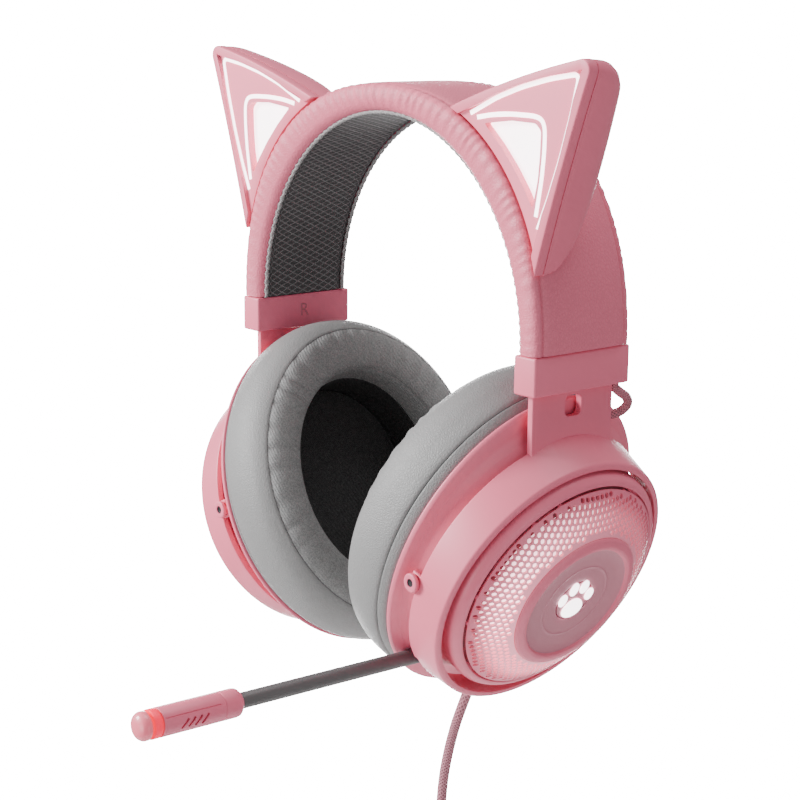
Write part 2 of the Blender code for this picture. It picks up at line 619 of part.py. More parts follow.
# --- Sliding yoke -----------------------------------------------------------------------------------------
def yoke_shape():
    """The hoop round the cup, with the sliding plate and its tongue grown out of the hoop's top edge."""
    sides = CUP_SIDES
    rings = [
        cup_ring(HOOP_NEAR, HOOP_NEAR_WIDE, HOOP_NEAR_TALL, HOOP_DROP),
        cup_ring(HOOP_FAR - 0.5 * MM, HOOP_FAR_RADIUS + 0.1 * MM, HOOP_FAR_RADIUS + 0.1 * MM, HOOP_DROP),
        cup_ring(HOOP_FAR, HOOP_FAR_RADIUS - 0.5 * MM, HOOP_FAR_RADIUS - 0.5 * MM, HOOP_DROP),
        cup_ring(HOOP_FAR, HOOP_FAR_RADIUS - HOOP_WALL, HOOP_FAR_RADIUS - HOOP_WALL, HOOP_DROP),
        cup_ring(HOOP_NEAR, HOOP_NEAR_WIDE - HOOP_WALL, HOOP_NEAR_TALL - HOOP_WALL, HOOP_DROP),
    ]
    shape = skin(rings, closed=True)
    shape.verts.ensure_lookup_table()
    outer, inner = shape.verts[0:sides], shape.verts[4 * sides:5 * sides]
    plate_reach = round(asin(PLATE_HALF / HOOP_NEAR_WIDE) / tau * sides)
    tongue_reach = round(asin(TONGUE_HALF / HOOP_NEAR_WIDE) / tau * sides)
    cap_foot = SEAM - CAP_HEIGHT - GAP
    levels = [(plate_reach, PLATE_HALF, cap_foot - 8 * MM), (plate_reach, PLATE_HALF, cap_foot),
              (tongue_reach, TONGUE_HALF, SEAM + TONGUE_UP)]
    near_out = {i: outer[i % sides] for i in range(-plate_reach, plate_reach + 1)}
    near_in = {i: inner[i % sides] for i in range(-plate_reach, plate_reach + 1)}
    bottom = [face for face in shape.faces
              if all(vert in near_out.values() or vert in near_in.values() for vert in face.verts)]
    bmesh.ops.delete(shape, geom=bottom, context="FACES_ONLY")
    rows = [(near_out, near_in, plate_reach)]
    for reach, half, height in levels:
        scale = half / (HOOP_NEAR_WIDE * sin(tau * reach / sides))
        out_row, in_row = {}, {}
        for i in range(-reach, reach + 1):
            y = HOOP_NEAR_WIDE * sin(tau * i / sides) * scale
            out_row[i] = shape.verts.new((SLIDER_X + SLIDER_THICK / 2, y, height))
            in_row[i] = shape.verts.new((SLIDER_X - SLIDER_THICK / 2, y, height))
        if reach < rows[-1][2]:
            # the tongue starts on a shoulder: its foot is the middle of the plate's top edge
            last_out, last_in, last_reach = rows[-1]
            for i in list(range(-last_reach, -reach)) + list(range(reach, last_reach)):
                shape.faces.new((last_out[i], last_out[i + 1], last_in[i + 1], last_in[i]))
        last_out, last_in, _ = rows[-1]
        for i in range(-reach, reach):
            shape.faces.new((last_out[i], last_out[i + 1], out_row[i + 1], out_row[i]))
            shape.faces.new((last_in[i], in_row[i], in_row[i + 1], last_in[i + 1]))
        for i in (-reach, reach):
            shape.faces.new((last_out[i], out_row[i], in_row[i], last_in[i]))
        rows.append((out_row, in_row, reach))
    top_out, top_in, reach = rows[-1]
    for i in range(-reach, reach):
        shape.faces.new((top_out[i], top_out[i + 1], top_in[i + 1], top_in[i]))
    return shape


def cup_box(low, high, bevel=0.0):
    """A box whose corners are given as (s, y, v) in the cup."""
    shape = box(low, high, bevel)
    frame = Matrix.Translation(cup_point(0, 0, 0)) @ Matrix.Rotation(CUP_TILT, 4, "Y")
    bmesh.ops.transform(shape, matrix=frame, verts=shape.verts)
    return shape


def pivot_cylinder(sign, near, far, radius, sides=16):
    """A cylinder on the tilt axis, from y=near to y=far, on the front (-1) or back (+1) of the cup."""
    start = cup_point(PIVOT_S, sign * near, 0)
    return turned([(0, radius), (far - near, radius)], start, (0, sign, 0), sides)


def make_yoke(side, m, parent):
    yoke = add(f"yoke_{side}", yoke_shape(), m["pink_shell"], parent, side)
    middle = SEAM - CAP_HEIGHT - GAP - WINDOW_BELOW_CAP - WINDOW_TALL / 2
    window = box((SLIDER_X - 6 * MM, -WINDOW_WIDE / 2, middle - WINDOW_TALL / 2),
                 (SLIDER_X + 6 * MM, WINDOW_WIDE / 2, middle + WINDOW_TALL / 2), 0.0)
    across = [edge for edge in window.edges if abs(edge.verts[0].co.x - edge.verts[1].co.x) > 6 * MM]
    bmesh.ops.bevel(window, geom=across, offset=1.8 * MM, segments=3, profile=0.5, affect="EDGES")
    boolean(yoke, add(f"window_{side}", window, None, parent, side, helper=True))
    inner = HOOP_NEAR_WIDE - HOOP_WALL
    for label, sign in (("front", -1), ("back", 1)):
        low, high = sorted((sign * (inner + 0.7 * MM), sign * (HOOP_NEAR_WIDE - 0.2 * MM)))
        tab = cup_box((PIVOT_S - 2.1 * MM, low, -TAB_HALF), (PIVOT_S + 2.6 * MM, high, TAB_HALF))
        boolean(yoke, add(f"tab_{label}_{side}", tab, None, parent, side, helper=True), "UNION")
    if side == "left":
        half = BOOM_RADIUS + 0.7 * MM
        notch = cup_box((4 * MM, -52 * MM, MIC_V - half), (BOOM_RELIEF, -24 * MM, MIC_V + half + 0.6 * MM),
                        0.8 * MM)
        boolean(yoke, add("boom_relief", notch, None, parent, helper=True))
        notch = cup_box((4 * MM, -3.6 * MM, -60 * MM), (CORD_RELIEF, 3.6 * MM, -43 * MM), 0.8 * MM)
        boolean(yoke, add("cord_relief", notch, None, parent, helper=True))
    for label, sign in (("front", -1), ("back", 1)):
        hole = pivot_cylinder(sign, inner - 4 * MM, HOOP_NEAR_WIDE + 4 * MM, PIVOT_RADIUS + PIVOT_FIT)
        boolean(yoke, add(f"pivot_hole_{label}_{side}", hole, None, parent, side, helper=True))
        shank = HOOP_NEAR_WIDE - inner + 3.4 * MM
        start = cup_point(PIVOT_S, sign * (inner - 3.0 * MM), 0)
        pin = turned([(0, PIVOT_RADIUS - 0.3 * MM), (0.3 * MM, PIVOT_RADIUS), (shank, PIVOT_RADIUS),
                      (shank, PIVOT_HEAD), (shank + 0.9 * MM, PIVOT_HEAD), (shank + 1.3 * MM,
                                                                            PIVOT_HEAD - 0.6 * MM)],
                     start, (0, sign, 0), 20)
        add(f"pivot_pin_{label}_{side}", pin, m["steel"], parent, side)


# --- Ear cups ---------------------------------------------------------------------------------------------
def housing_profile():
    """The inner housing's wall, from the flange's rim round the outside and back along the inside."""
    wide, tall, wall = FLANGE_WIDE, FLANGE_TALL, HOUSING_WALL
    outer = [(0.0, wide - 0.4 * MM, tall - 0.4 * MM), (0.6 * MM, wide, tall),
             (FLANGE_THICK, wide - 0.5 * MM, tall - 0.6 * MM),
             (3.2 * MM, wide - 2.8 * MM, tall - 5.4 * MM), (5.0 * MM, wide - 4.2 * MM, tall - 9.0 * MM),
             (8.0 * MM, wide - 5.8 * MM, tall - 11.4 * MM), (HOUSING_DEEP, BEZEL_RADIUS + 0.3 * MM,
                                                             BEZEL_RADIUS + 1.0 * MM)]
    inner = [(HOUSING_DEEP, BEZEL_RADIUS + 0.3 * MM - wall, BEZEL_RADIUS + 1.0 * MM - wall),
             (8.0 * MM, wide - 5.8 * MM - wall, tall - 11.4 * MM - wall),
             (5.0 * MM, wide - 4.2 * MM - wall, tall - 9.0 * MM - wall),
             (3.0 * MM, wide - 4.6 * MM, tall - 8.0 * MM), (0.0, wide - 4.6 * MM, tall - 8.0 * MM)]
    return outer + inner


def mic_axis():
    return cup_vector(0, -cos(MIC_RISE), sin(MIC_RISE))


def mic_point(along):
    """A point on the microphone's axis, this far in front of where the boom leaves the cup."""
    return cup_point(MIC_S, MIC_PORT_Y, MIC_V) + mic_axis() * along


def make_cup(side, m, parent):
    housing = add(f"cup_housing_{side}", cup_lathe(housing_profile()), m["pink_shell"], parent, side)
    for label, sign in (("front", -1), ("back", 1)):
        socket = pivot_cylinder(sign, FLANGE_WIDE - 12 * MM, FLANGE_WIDE, PIVOT_RADIUS + PIVOT_FIT)
        boolean(housing, add(f"pivot_socket_{label}_{side}", socket, None, parent, side, helper=True))

    seat = HOUSING_DEEP + GAP
    wall = BEZEL_WALL
    bezel = [(seat, BEZEL_RADIUS + 0.2 * MM, BEZEL_RADIUS + 0.8 * MM), (18 * MM, BEZEL_RADIUS, BEZEL_RADIUS),
             (BEZEL_OUT - 2.2 * MM, BEZEL_RADIUS - 0.1 * MM, BEZEL_RADIUS - 0.1 * MM),
             (BEZEL_OUT - 0.5 * MM, GRILLE_RADIUS + 1.9 * MM, GRILLE_RADIUS + 1.9 * MM),
             (BEZEL_OUT, GRILLE_RADIUS + 1.3 * MM, GRILLE_RADIUS + 1.3 * MM),
             (BEZEL_OUT, GRILLE_RADIUS + 2 * GAP, GRILLE_RADIUS + 2 * GAP),
             (BEZEL_OUT - 2.4 * MM, GRILLE_RADIUS + 2 * GAP, GRILLE_RADIUS + 2 * GAP),
             (18 * MM, BEZEL_RADIUS - wall, BEZEL_RADIUS - wall), (seat, BEZEL_RADIUS + 0.2 * MM - wall,
                                                                   BEZEL_RADIUS + 0.8 * MM - wall)]
    add(f"cup_bezel_{side}", cup_lathe(bezel), m["pink_shell"], parent, side)

    sphere = dome_radius()
    centre = GRILLE_SEAT - sqrt(sphere ** 2 - GRILLE_RADIUS ** 2)
    outer_skin, inner_skin = [], []
    for i in range(7):
        radius = GRILLE_RADIUS + (HUB_RADIUS + GAP - GRILLE_RADIUS) * i / 6
        height = centre + sqrt(sphere ** 2 - radius ** 2)
        outer_skin.append((height, radius, radius))
        inner_skin.append((height - GRILLE_WALL, radius, radius))
    add(f"grille_{side}", cup_lathe(outer_skin + inner_skin[::-1]), m["pink_shell"], parent, side)

    dish = HUB_OUT - DISH_DEEP
    hub = [(HUB_OUT - 3.4 * MM, HUB_RADIUS), (HUB_OUT - 1.1 * MM, HUB_RADIUS),
           (HUB_OUT - 0.5 * MM, HUB_RADIUS - 0.6 * MM),
           (HUB_OUT, HUB_RADIUS - 2.4 * MM), (HUB_OUT - 0.4 * MM, DISH_RADIUS), (dish, 12 * MM),
           (dish - 0.2 * MM, EMBLEM_RADIUS + GAP), (HUB_OUT - 3.4 * MM, EMBLEM_RADIUS + GAP)]
    add(f"hub_{side}", cup_lathe([(s, r, r) for s, r in hub]), m["pink_shell"], parent, side)
    emblem = [(dish - 0.2 * MM - EMBLEM_THICK, EMBLEM_RADIUS), (dish - 0.2 * MM, EMBLEM_RADIUS)]
    add(f"hub_light_{side}", cup_lathe([(s, r, r) for s, r in emblem], closed=False), m["light_guide"],
        parent, side)

    board = [(LIGHT_RING_AT, LIGHT_RING_IN), (LIGHT_RING_AT, LIGHT_RING_OUT),
             (LIGHT_RING_AT + LIGHT_RING_WALL, LIGHT_RING_OUT), (LIGHT_RING_AT + LIGHT_RING_WALL,
                                                                 LIGHT_RING_IN)]
    add(f"light_ring_{side}", cup_lathe([(s, r, r) for s, r in board], sides=24), m["circuit"], parent, side)

    wide, tall = FLANGE_WIDE - 4.6 * MM - GAP, FLANGE_TALL - 8.0 * MM - GAP
    inside = DRIVER_RADIUS + GAP
    near, far = 0.4 * MM, 0.4 * MM + BAFFLE_THICK
    baffle = [(near, wide, tall), (far, wide, tall), (far, inside, inside), (near, inside, inside)]
    add(f"baffle_{side}", cup_lathe(baffle, sides=32), m["dark_rubber"], parent, side)
    driver = [(0.6 * MM, DRIVER_RADIUS - 1.5 * MM), (0.6 * MM, DRIVER_RADIUS), (3.2 * MM, DRIVER_RADIUS),
              (6.5 * MM, MAGNET_RADIUS + 3 * MM), (6.8 * MM, MAGNET_RADIUS), (DRIVER_DEEP, MAGNET_RADIUS)]
    add(f"driver_{side}", cup_lathe([(s, r, r) for s, r in driver], closed=False, sides=32),
        m["dark_plastic"],
        parent, side)
    hole_wide, hole_tall = EAR_HOLE_WIDE - GAP, EAR_HOLE_TALL - GAP
    cloth = [(-0.9 * MM, hole_wide, hole_tall), (-0.2 * MM, hole_wide, hole_tall)]
    add(f"driver_cloth_{side}", cup_lathe(cloth, closed=False, sides=32), m["black_cloth"], parent, side)
    add(f"ear_cushion_{side}", cup_lathe(cushion_profile(), sides=32), m["grey_leather"], parent, side)
    return housing


def dome_radius():
    """The sphere through the grille's seat and the hub's foot."""
    rise = HUB_OUT - 1.2 * MM - GRILLE_SEAT
    a, b = GRILLE_RADIUS, HUB_RADIUS
    below = (a * a - b * b - rise * rise) / (2 * rise)
    return sqrt(a * a + below * below)


def cushion_profile():
    """The cushion's section, from its foot on the flange round its bulging wall, over the crest and down its
    tunnel."""
    wide, tall, deep = FLANGE_WIDE, FLANGE_TALL, CUSHION_DEEP
    hole_wide, hole_tall = EAR_HOLE_WIDE, EAR_HOLE_TALL
    bulge = CUSHION_BULGE
    return [(-GAP, wide - 0.2 * MM, tall - 0.8 * MM), (-0.2 * deep, wide + 0.7 * bulge, tall + 0.4 * bulge),
            (-0.48 * deep, wide + bulge, tall + 0.55 * bulge), (-0.74 * deep, wide + 0.4 * bulge,
                                                                tall - 0.3 * bulge),
            (-0.91 * deep, wide - 3.4 * MM, tall - 4.8 * MM), (-deep, wide - 8.2 * MM, tall - 9.8 * MM),
            (-0.985 * deep, hole_wide + 6.2 * MM, hole_tall + 6.0 * MM), (-0.88 * deep, hole_wide + 2.6 * MM,
                                                                          hole_tall + 2.6 * MM),
            (-0.55 * deep, hole_wide + 0.8 * MM, hole_tall + 0.8 * MM), (-GAP, hole_wide, hole_tall)]


def make_microphone(m, parent, tip_parent):
    """The boom with its stop, the capsule, the mute light's ring and the mute button."""
    ahead = mic_axis()
    cap_start, stop = BOOM_OUT, BOOM_STOP_LONG
    boom = turned([(-BOOM_TAIL, BOOM_STOP_RADIUS), (-BOOM_TAIL + stop, BOOM_STOP_RADIUS),
                   (-BOOM_TAIL + stop, BOOM_RADIUS),
                   (cap_start - GAP, BOOM_RADIUS)], mic_point(0), ahead, 16)
    add("mic_boom", boom, m["dark_rubber"], parent)
    r, long = CAPSULE_RADIUS, CAPSULE_LONG
    bore = MUTE_STEM_RADIUS + GAP
    body = turned([(0, r - 1.0 * MM), (0.8 * MM, r - 0.2 * MM), (1.6 * MM, r), (long, r), (long, bore),
                   (long - 4.0 * MM, bore)], mic_point(cap_start), ahead, 24)
    add("mic_capsule", body, m["pink_shell"], parent)
    ring_start = cap_start + long + GAP
    ring = turned_ring([(0, r), (MIC_RING_LONG, r), (MIC_RING_LONG, bore), (0, bore)], mic_point(ring_start),
                       ahead, 24)
    add("mic_mute_light", ring, m["red_light"], parent)
    tip_start = ring_start + MIC_RING_LONG + MUTE_TRAVEL_GAP
    stem = tip_start - (cap_start + long - 2.6 * MM)
    tip = turned([(-stem, MUTE_STEM_RADIUS), (0, MUTE_STEM_RADIUS), (0, r - 0.1 * MM),
                  (MUTE_LONG * 0.45, r - 0.1 * MM),
                  (MUTE_LONG * 0.75, r - 0.8 * MM), (MUTE_LONG * 0.93, r - 2.0 * MM), (MUTE_LONG,
                                                                                       r - 3.4 * MM)],
                 mic_point(tip_start), ahead, 24)
    add("mic_mute_button", tip, m["pink_gloss"], tip_parent)


def rim_at(angle, s_index=4):
    """The distance from the cup's axis to the housing's outside at an angle from its top, and inwards its
    wall."""
    s, wide, tall = housing_profile()[s_index]
    a = radians(angle)
    return 1 / sqrt((sin(a) / wide) ** 2 + (cos(a) / tall) ** 2)


def make_buttons(m, housing, parents, cup_parent):
    for name, angle in BUTTON_ANGLES.items():
        a = radians(angle)
        out = cup_vector(0, sin(a), cos(a))
        radius = rim_at(angle)
        start = cup_point(BUTTON_S, (radius - HOUSING_WALL - 2.4 * MM) * sin(a),
                          (radius - HOUSING_WALL - 2.4 * MM) * cos(a))
        long = HOUSING_WALL + 2.4 * MM + BUTTON_PROUD
        button = turned([(0, BUTTON_RADIUS - 0.3 * MM), (0.3 * MM, BUTTON_RADIUS),
                         (long - 0.5 * MM, BUTTON_RADIUS),
                         (long, BUTTON_RADIUS - 0.6 * MM)], start, out, 20)
        add(name, button, m["pink_gloss"], parents[name])
        hole = turned([(-1 * MM, BUTTON_RADIUS + 0.25 * MM), (long + 3 * MM, BUTTON_RADIUS + 0.25 * MM)],
                      start, out, 20)
        boolean(housing, add(f"{name}_hole", hole, None, cup_parent, helper=True))


def make_left_cup_extras(m, housing, parent):
    """The control board, and the holes that the microphone and the cord leave by."""
    port = turned([(0, BOOM_RADIUS + 0.35 * MM), (22 * MM, BOOM_RADIUS + 0.35 * MM)], mic_point(-12 * MM),
                  mic_axis(), 20)
    boolean(housing, add("mic_port_hole", port, None, parent, helper=True))
    board = bmesh.new()
    bmesh.ops.create_cube(board, size=1.0)
    bmesh.ops.scale(board, vec=(1.2 * MM, 34 * MM, 17 * MM), verts=board.verts)
    turn = Matrix.Translation(cup_point(15.0 * MM, 0, 25.5 * MM)) @ Matrix.Rotation(CUP_TILT, 4, "Y")
    bmesh.ops.transform(board, matrix=turn, verts=board.verts)
    add("control_board", board, m["circuit"], parent, smooth=False)
    down = cup_vector(0, 0, -1)
    start = cup_point(CORD_S, 0, -GLAND_TOP)
    gland = turned([(0, 2.9 * MM), (4.0 * MM, 2.9 * MM),
                    (GLAND_LONG, CORD_RADIUS + 0.35 * MM)], start, down, 16)
    add("cord_gland", gland, m["dark_rubber"], parent)
    hole = turned([(-3 * MM, 2.9 * MM + GAP), (4 * MM, 2.9 * MM + GAP), (12 * MM, 2.9 * MM + GAP)], start,
                  down, 16)
    boolean(housing, add("cord_hole", hole, None, parent, helper=True))


# --- Cables and cord --------------------------------------------------------------------------------------
def make_jumper(side, m, parent):
    route = smooth_route([(x, y, z + SEAM / MM) for x, y, z in JUMPER_ROUTE], 2.4 * JUMPER_RADIUS)
    tube(f"jumper_cable_{side}", route, JUMPER_RADIUS, m["braid"], parent, side)


def make_cord(m, parent):
    start = cup_point(CORD_S, 0, -GLAND_TOP - GLAND_LONG - GAP) / MM
    second = cup_point(CORD_S, 0, -GLAND_TOP - GLAND_LONG - GAP - 4 * MM) / MM
    route = smooth_route([start, second, *CORD_ROUTE[1:]], 4.5 * CORD_RADIUS)
    tube("cord", route, CORD_RADIUS, m["braid"], parent)
    inner, outer = COIL_RADIUS - COIL_HALF_THICK, COIL_RADIUS + COIL_HALF_THICK
    half, ease = COIL_HALF_THICK, 1.6 * MM
    section = [(-half + ease, inner), (half - ease, inner), (half, inner + ease), (half, outer - ease),
               (half - ease, outer), (-half + ease, outer), (-half, outer - ease), (-half, inner + ease)]
    add("cord_coil", turned_ring(section, COIL_CENTRE, (0, 1, 0), 32), m["braid"], parent)
    tube("cord_tail", smooth_route(TAIL_ROUTE, 4 * CORD_RADIUS), CORD_RADIUS, m["braid"], parent)
    x, y, z = COIL_CENTRE
    thick, half_long = 1.0 * MM, 4 * MM
    reach = COIL_HALF_THICK + GAP
    over = reach + half_long ** 2 / (2 * inner) + 0.1 * MM
    band = [(reach, over), (reach, -reach), (-reach, -reach), (-reach, over)]
    tie_centre = Vector((x, y, z - COIL_RADIUS))
    rings = []
    for along, grow in ((-half_long, 0), (-half_long, thick), (half_long, thick), (half_long, 0)):
        rings.append([tie_centre + Vector((along, a + (grow if a > 0 else -grow),
                                           b + (grow if b > 0 else -grow)))
                      for a, b in band])
    add("cord_tie", skin(rings, closed=True), m["dark_rubber"], parent)


def make_plug(m, parent):
    """The USB plug: a moulded grip and its steel shell, hanging at the end of the cord."""
    x, y = TAIL_ROUTE[-1][0] * MM, TAIL_ROUTE[-1][1] * MM
    wide, thick, long = PLUG_GRIP
    top = PLUG_TOP
    grip = box((x - wide, y - thick, top - long), (x + wide, y + thick, top), 1.2 * MM, 2)
    add("usb_plug_grip", grip, m["dark_rubber"], parent)
    wide, thick, long = PLUG_SHELL
    shell_top = top - PLUG_GRIP[2] - GAP
    shell = add("usb_plug_shell", box((x - wide, y - thick, shell_top - long), (x + wide, y + thick,
                                                                                shell_top)), m["steel"],
                parent, smooth=False)
    mouth = box((x - wide + 0.5 * MM, y - thick + 0.5 * MM, shell_top - long - 1 * MM),
                (x + wide - 0.5 * MM, y + 0.2 * MM, shell_top - long + 11 * MM))
    boolean(shell, add("plug_mouth", mouth, None, parent, helper=True))


def main():
    clear_scene()
    m = make_materials()
    make_headband(m)
    for side, sign in SIDES.items():
        make_end_cap(side, m)
        make_ear(side, m)
        slider = empty(f"slider_{side}_joint", (sign * SLIDER_X, 0, SEAM - CAP_HEIGHT))
        make_yoke(side, m, slider)
        make_jumper(side, m, slider)
        pivot = cup_point(PIVOT_S, 0, 0)
        cup = empty(f"cup_{side}_joint", (sign * pivot.x, 0, pivot.z), sign * CUP_TILT, slider)
        housing = make_cup(side, m, cup)
        if side == "left":
            mic = empty("mic_joint", mic_point(0), CUP_TILT, cup)
            mute = empty("mute_joint", mic_point(BOOM_OUT + CAPSULE_LONG), CUP_TILT, mic)
            make_microphone(m, mic, mute)
            parents = {name: empty(f"{name}_joint", cup_point(BUTTON_S, 40 * MM * sin(radians(angle)),
                                                             40 * MM * cos(radians(angle))), CUP_TILT, cup)
                       for name, angle in BUTTON_ANGLES.items()}
            make_buttons(m, housing, parents, cup)
            make_left_cup_extras(m, housing, cup)
            make_cord(m, cup)
            make_plug(m, cup)


main()
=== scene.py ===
# %% [markdown]
# # A cat-ear gaming headset
# This lesson dresses a finished mechanical model. The model already has every part that slides, tilts,
# presses or carries load, at its real size. Here each visible part gets its true surface: leatherette that
# puckers over the padding, open mesh, knitted cushion covers, satin plastic, a perforated and lit ear cup,
# and a woven cord. Lengths are in metres. Z is up, the wearer faces -Y, and the wearer's left ear is at +X.

# %% Open the mechanical model
import bpy
import bmesh
from math import cos, degrees, pi, radians, sin, sqrt, tau
from mathutils import Matrix, Vector, noise


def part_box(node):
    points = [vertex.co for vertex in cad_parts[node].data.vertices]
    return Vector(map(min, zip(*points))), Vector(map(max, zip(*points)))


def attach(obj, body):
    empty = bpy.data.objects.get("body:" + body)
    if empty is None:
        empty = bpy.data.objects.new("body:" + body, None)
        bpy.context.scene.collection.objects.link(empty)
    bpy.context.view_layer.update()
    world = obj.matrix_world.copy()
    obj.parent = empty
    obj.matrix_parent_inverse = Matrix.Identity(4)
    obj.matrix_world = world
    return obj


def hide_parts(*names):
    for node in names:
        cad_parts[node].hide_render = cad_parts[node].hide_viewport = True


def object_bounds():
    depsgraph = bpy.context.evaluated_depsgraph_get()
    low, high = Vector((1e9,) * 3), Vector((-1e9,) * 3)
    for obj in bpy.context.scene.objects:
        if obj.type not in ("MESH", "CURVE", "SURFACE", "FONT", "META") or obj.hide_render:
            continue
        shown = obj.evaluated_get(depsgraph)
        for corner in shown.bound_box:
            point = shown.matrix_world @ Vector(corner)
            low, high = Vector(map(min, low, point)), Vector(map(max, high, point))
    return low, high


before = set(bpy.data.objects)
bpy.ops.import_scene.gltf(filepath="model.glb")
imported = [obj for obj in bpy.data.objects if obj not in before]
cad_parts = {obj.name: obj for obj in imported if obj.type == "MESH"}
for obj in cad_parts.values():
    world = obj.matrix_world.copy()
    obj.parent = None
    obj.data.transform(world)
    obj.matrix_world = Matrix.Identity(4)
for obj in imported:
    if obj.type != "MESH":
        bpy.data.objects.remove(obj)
cad_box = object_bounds()
MM = 0.001

# %% [markdown]
# ## Camera and light
# The camera stands to the wearer's front left, level with the top of the band, with a long lens, as for a
# shop's picture. A plain white world gives even light from all round. Of four soft lamps the one in front
# is much the strongest: it makes the near edges bright and leaves the outer side of the headband in soft
# shade, which is what shows the shapes. A small pale disc is the floor, and a lit white card far behind
# makes the background plain.

# %% Camera
bpy.ops.object.camera_add()
camera = bpy.context.object
camera.data.lens, camera.data.sensor_width = 78.85, 36.0
right, up, back = (Vector(v) for v in ((0.64318, 0.76566, 0.00943), (-0.17080, 0.13146, 0.97650),
                                       (0.74642, -0.62968, 0.21533)))
turned_to = Matrix((right, up, back)).transposed().to_4x4()
camera.matrix_world = Matrix.Translation((0.43492, -0.37638, 0.03019)) @ turned_to
bpy.context.scene.camera = camera
print("camera lens", camera.data.lens, "mm")


# %% Lamps, world and floor
def soft_lamp(name, place, target, size, watts):
    """A square area lamp at a place, turned to face the target."""
    bpy.ops.object.light_add(type="AREA", location=place)
    lamp = bpy.context.object
    lamp.name = name
    lamp.data.size, lamp.data.energy = size, watts
    lamp.rotation_euler = (Vector(target) - Vector(place)).to_track_quat("-Z", "Y").to_euler()
    return lamp


soft_lamp("key", (-0.75, -1.0, 0.42), (0.0, 0.0, -0.09), 0.45, 42.0)
soft_lamp("fill", (0.05, -1.25, -0.3), (0.0, 0.0, -0.12), 0.6, 6.0)
soft_lamp("top", (0.1, 0.25, 1.2), (0.0, 0.0, -0.05), 0.8, 13.0)
soft_lamp("side", (1.2, -0.1, -0.25), (0.0, 0.0, -0.12), 0.7, 3.0)

world = bpy.data.worlds.new("studio")
bpy.context.scene.world = world
world.use_nodes = True
world.node_tree.nodes["Background"].inputs["Color"].default_value = (1.0, 1.0, 1.0, 1.0)
world.node_tree.nodes["Background"].inputs["Strength"].default_value = 0.36

bpy.ops.mesh.primitive_circle_add(vertices=96, radius=0.30, fill_type="NGON",
                                  location=(0, 0, cad_box[0][2] - 0.05))
floor = bpy.context.object
floor.name = "floor"
bpy.ops.mesh.primitive_plane_add(size=2.4, location=Vector((0, 0, -0.09)) - back * 3.0,
                                 rotation=camera.matrix_world.to_euler())
backdrop = bpy.context.object
backdrop.name = "backdrop"
for card, glow in ((floor, 0.0), (backdrop, 20.0)):
    paper = bpy.data.materials.new(card.name + " paper")
    paper.use_nodes = True
    sheet = paper.node_tree.nodes["Principled BSDF"].inputs
    sheet["Base Color"].default_value = (0.9, 0.9, 0.9, 1)
    sheet["Roughness"].default_value = 1.0
    sheet["Emission Color"].default_value = (1, 1, 1, 1)
    sheet["Emission Strength"].default_value = glow
    card.data.materials.append(paper)
print("floor at", round(floor.location.z, 3))

# %% [markdown]
# ## Working with a bent grid
# Nearly every soft or turned part here is a sheet that has been bent: round a headband, round an ear cup,
# round a cord. So one helper adds Blender's grid, moves each of its points to where a small function says,
# and merges the edges that meet. The grid brings a UV map with it, so a weave can follow the part's own
# length and width.


# %% Bent grid and friends
def choose(piece):
    """Makes one object the only selected and active one."""
    bpy.ops.object.select_all(action="DESELECT")
    piece.select_set(True)
    bpy.context.view_layer.objects.active = piece


def close_up(piece, fill=False):
    """Merges points that meet, closes open ends if asked, and turns the faces outwards."""
    choose(piece)
    bpy.ops.object.mode_set(mode="EDIT")
    bpy.ops.mesh.select_all(action="SELECT")
    bpy.ops.mesh.remove_doubles(threshold=2e-6)
    if fill:
        bpy.ops.mesh.select_all(action="SELECT")
        bpy.ops.mesh.fill_holes(sides=0)
    bpy.ops.mesh.select_all(action="SELECT")
    bpy.ops.mesh.normals_make_consistent(inside=False)
    bpy.ops.object.mode_set(mode="OBJECT")


def bent_grid(name, place, across, along, fill=False, smooth=40):
    """A grid whose point (u, v), each from 0 to 1, goes to place(u, v)."""
    bpy.ops.object.select_all(action="DESELECT")
    bpy.ops.mesh.primitive_grid_add(x_subdivisions=across, y_subdivisions=along, size=1)
    piece = bpy.context.object
    piece.name = piece.data.name = name
    for vert in piece.data.vertices:
        vert.co = place(vert.co.x + 0.5, vert.co.y + 0.5)
    close_up(piece, fill)
    bpy.ops.object.shade_smooth_by_angle(angle=radians(smooth))
    return piece


def change(piece, kind, **settings):
    """Adds a modifier, sets it and applies it."""
    choose(piece)
    modifier = piece.modifiers.new(kind.lower(), kind)
    for key, value in settings.items():
        setattr(modifier, key, value)
    bpy.ops.object.modifier_apply(modifier=modifier.name)
    return piece


def combine(piece, tool, operation="DIFFERENCE"):
    """Cuts a tool's shape out of a piece, or adds it, and throws the tool away."""
    change(piece, "BOOLEAN", operation=operation, solver="EXACT", object=tool)
    bpy.data.objects.remove(tool, do_unlink=True)
    return piece


def soft_edges(piece, width, segments=3, limit=35):
    """Rounds the edges that are sharper than a limit in degrees."""
    change(piece, "BEVEL", width=width, segments=segments, limit_method="ANGLE", angle_limit=radians(limit),
           harden_normals=False)
    bpy.ops.object.shade_smooth_by_angle(angle=radians(40))
    return piece


def block(name, middle, size, rotation=(0, 0, 0)):
    """A box with its middle and its size along its own axes."""
    bpy.ops.object.select_all(action="DESELECT")
    bpy.ops.mesh.primitive_cube_add(size=1, location=middle, rotation=rotation, scale=size)
    piece = bpy.context.object
    piece.name = name
    bpy.ops.object.transform_apply(location=True, rotation=True, scale=True)
    return piece


def leaning_block(name, middle, ways, size):
    """A box whose three edges run along three given directions."""
    piece = block(name, (0, 0, 0), (1, 1, 1))
    for vert in piece.data.vertices:
        vert.co = middle + sum((way * c * long for way, c, long in zip(ways, vert.co, size)), Vector())
    close_up(piece)
    return piece


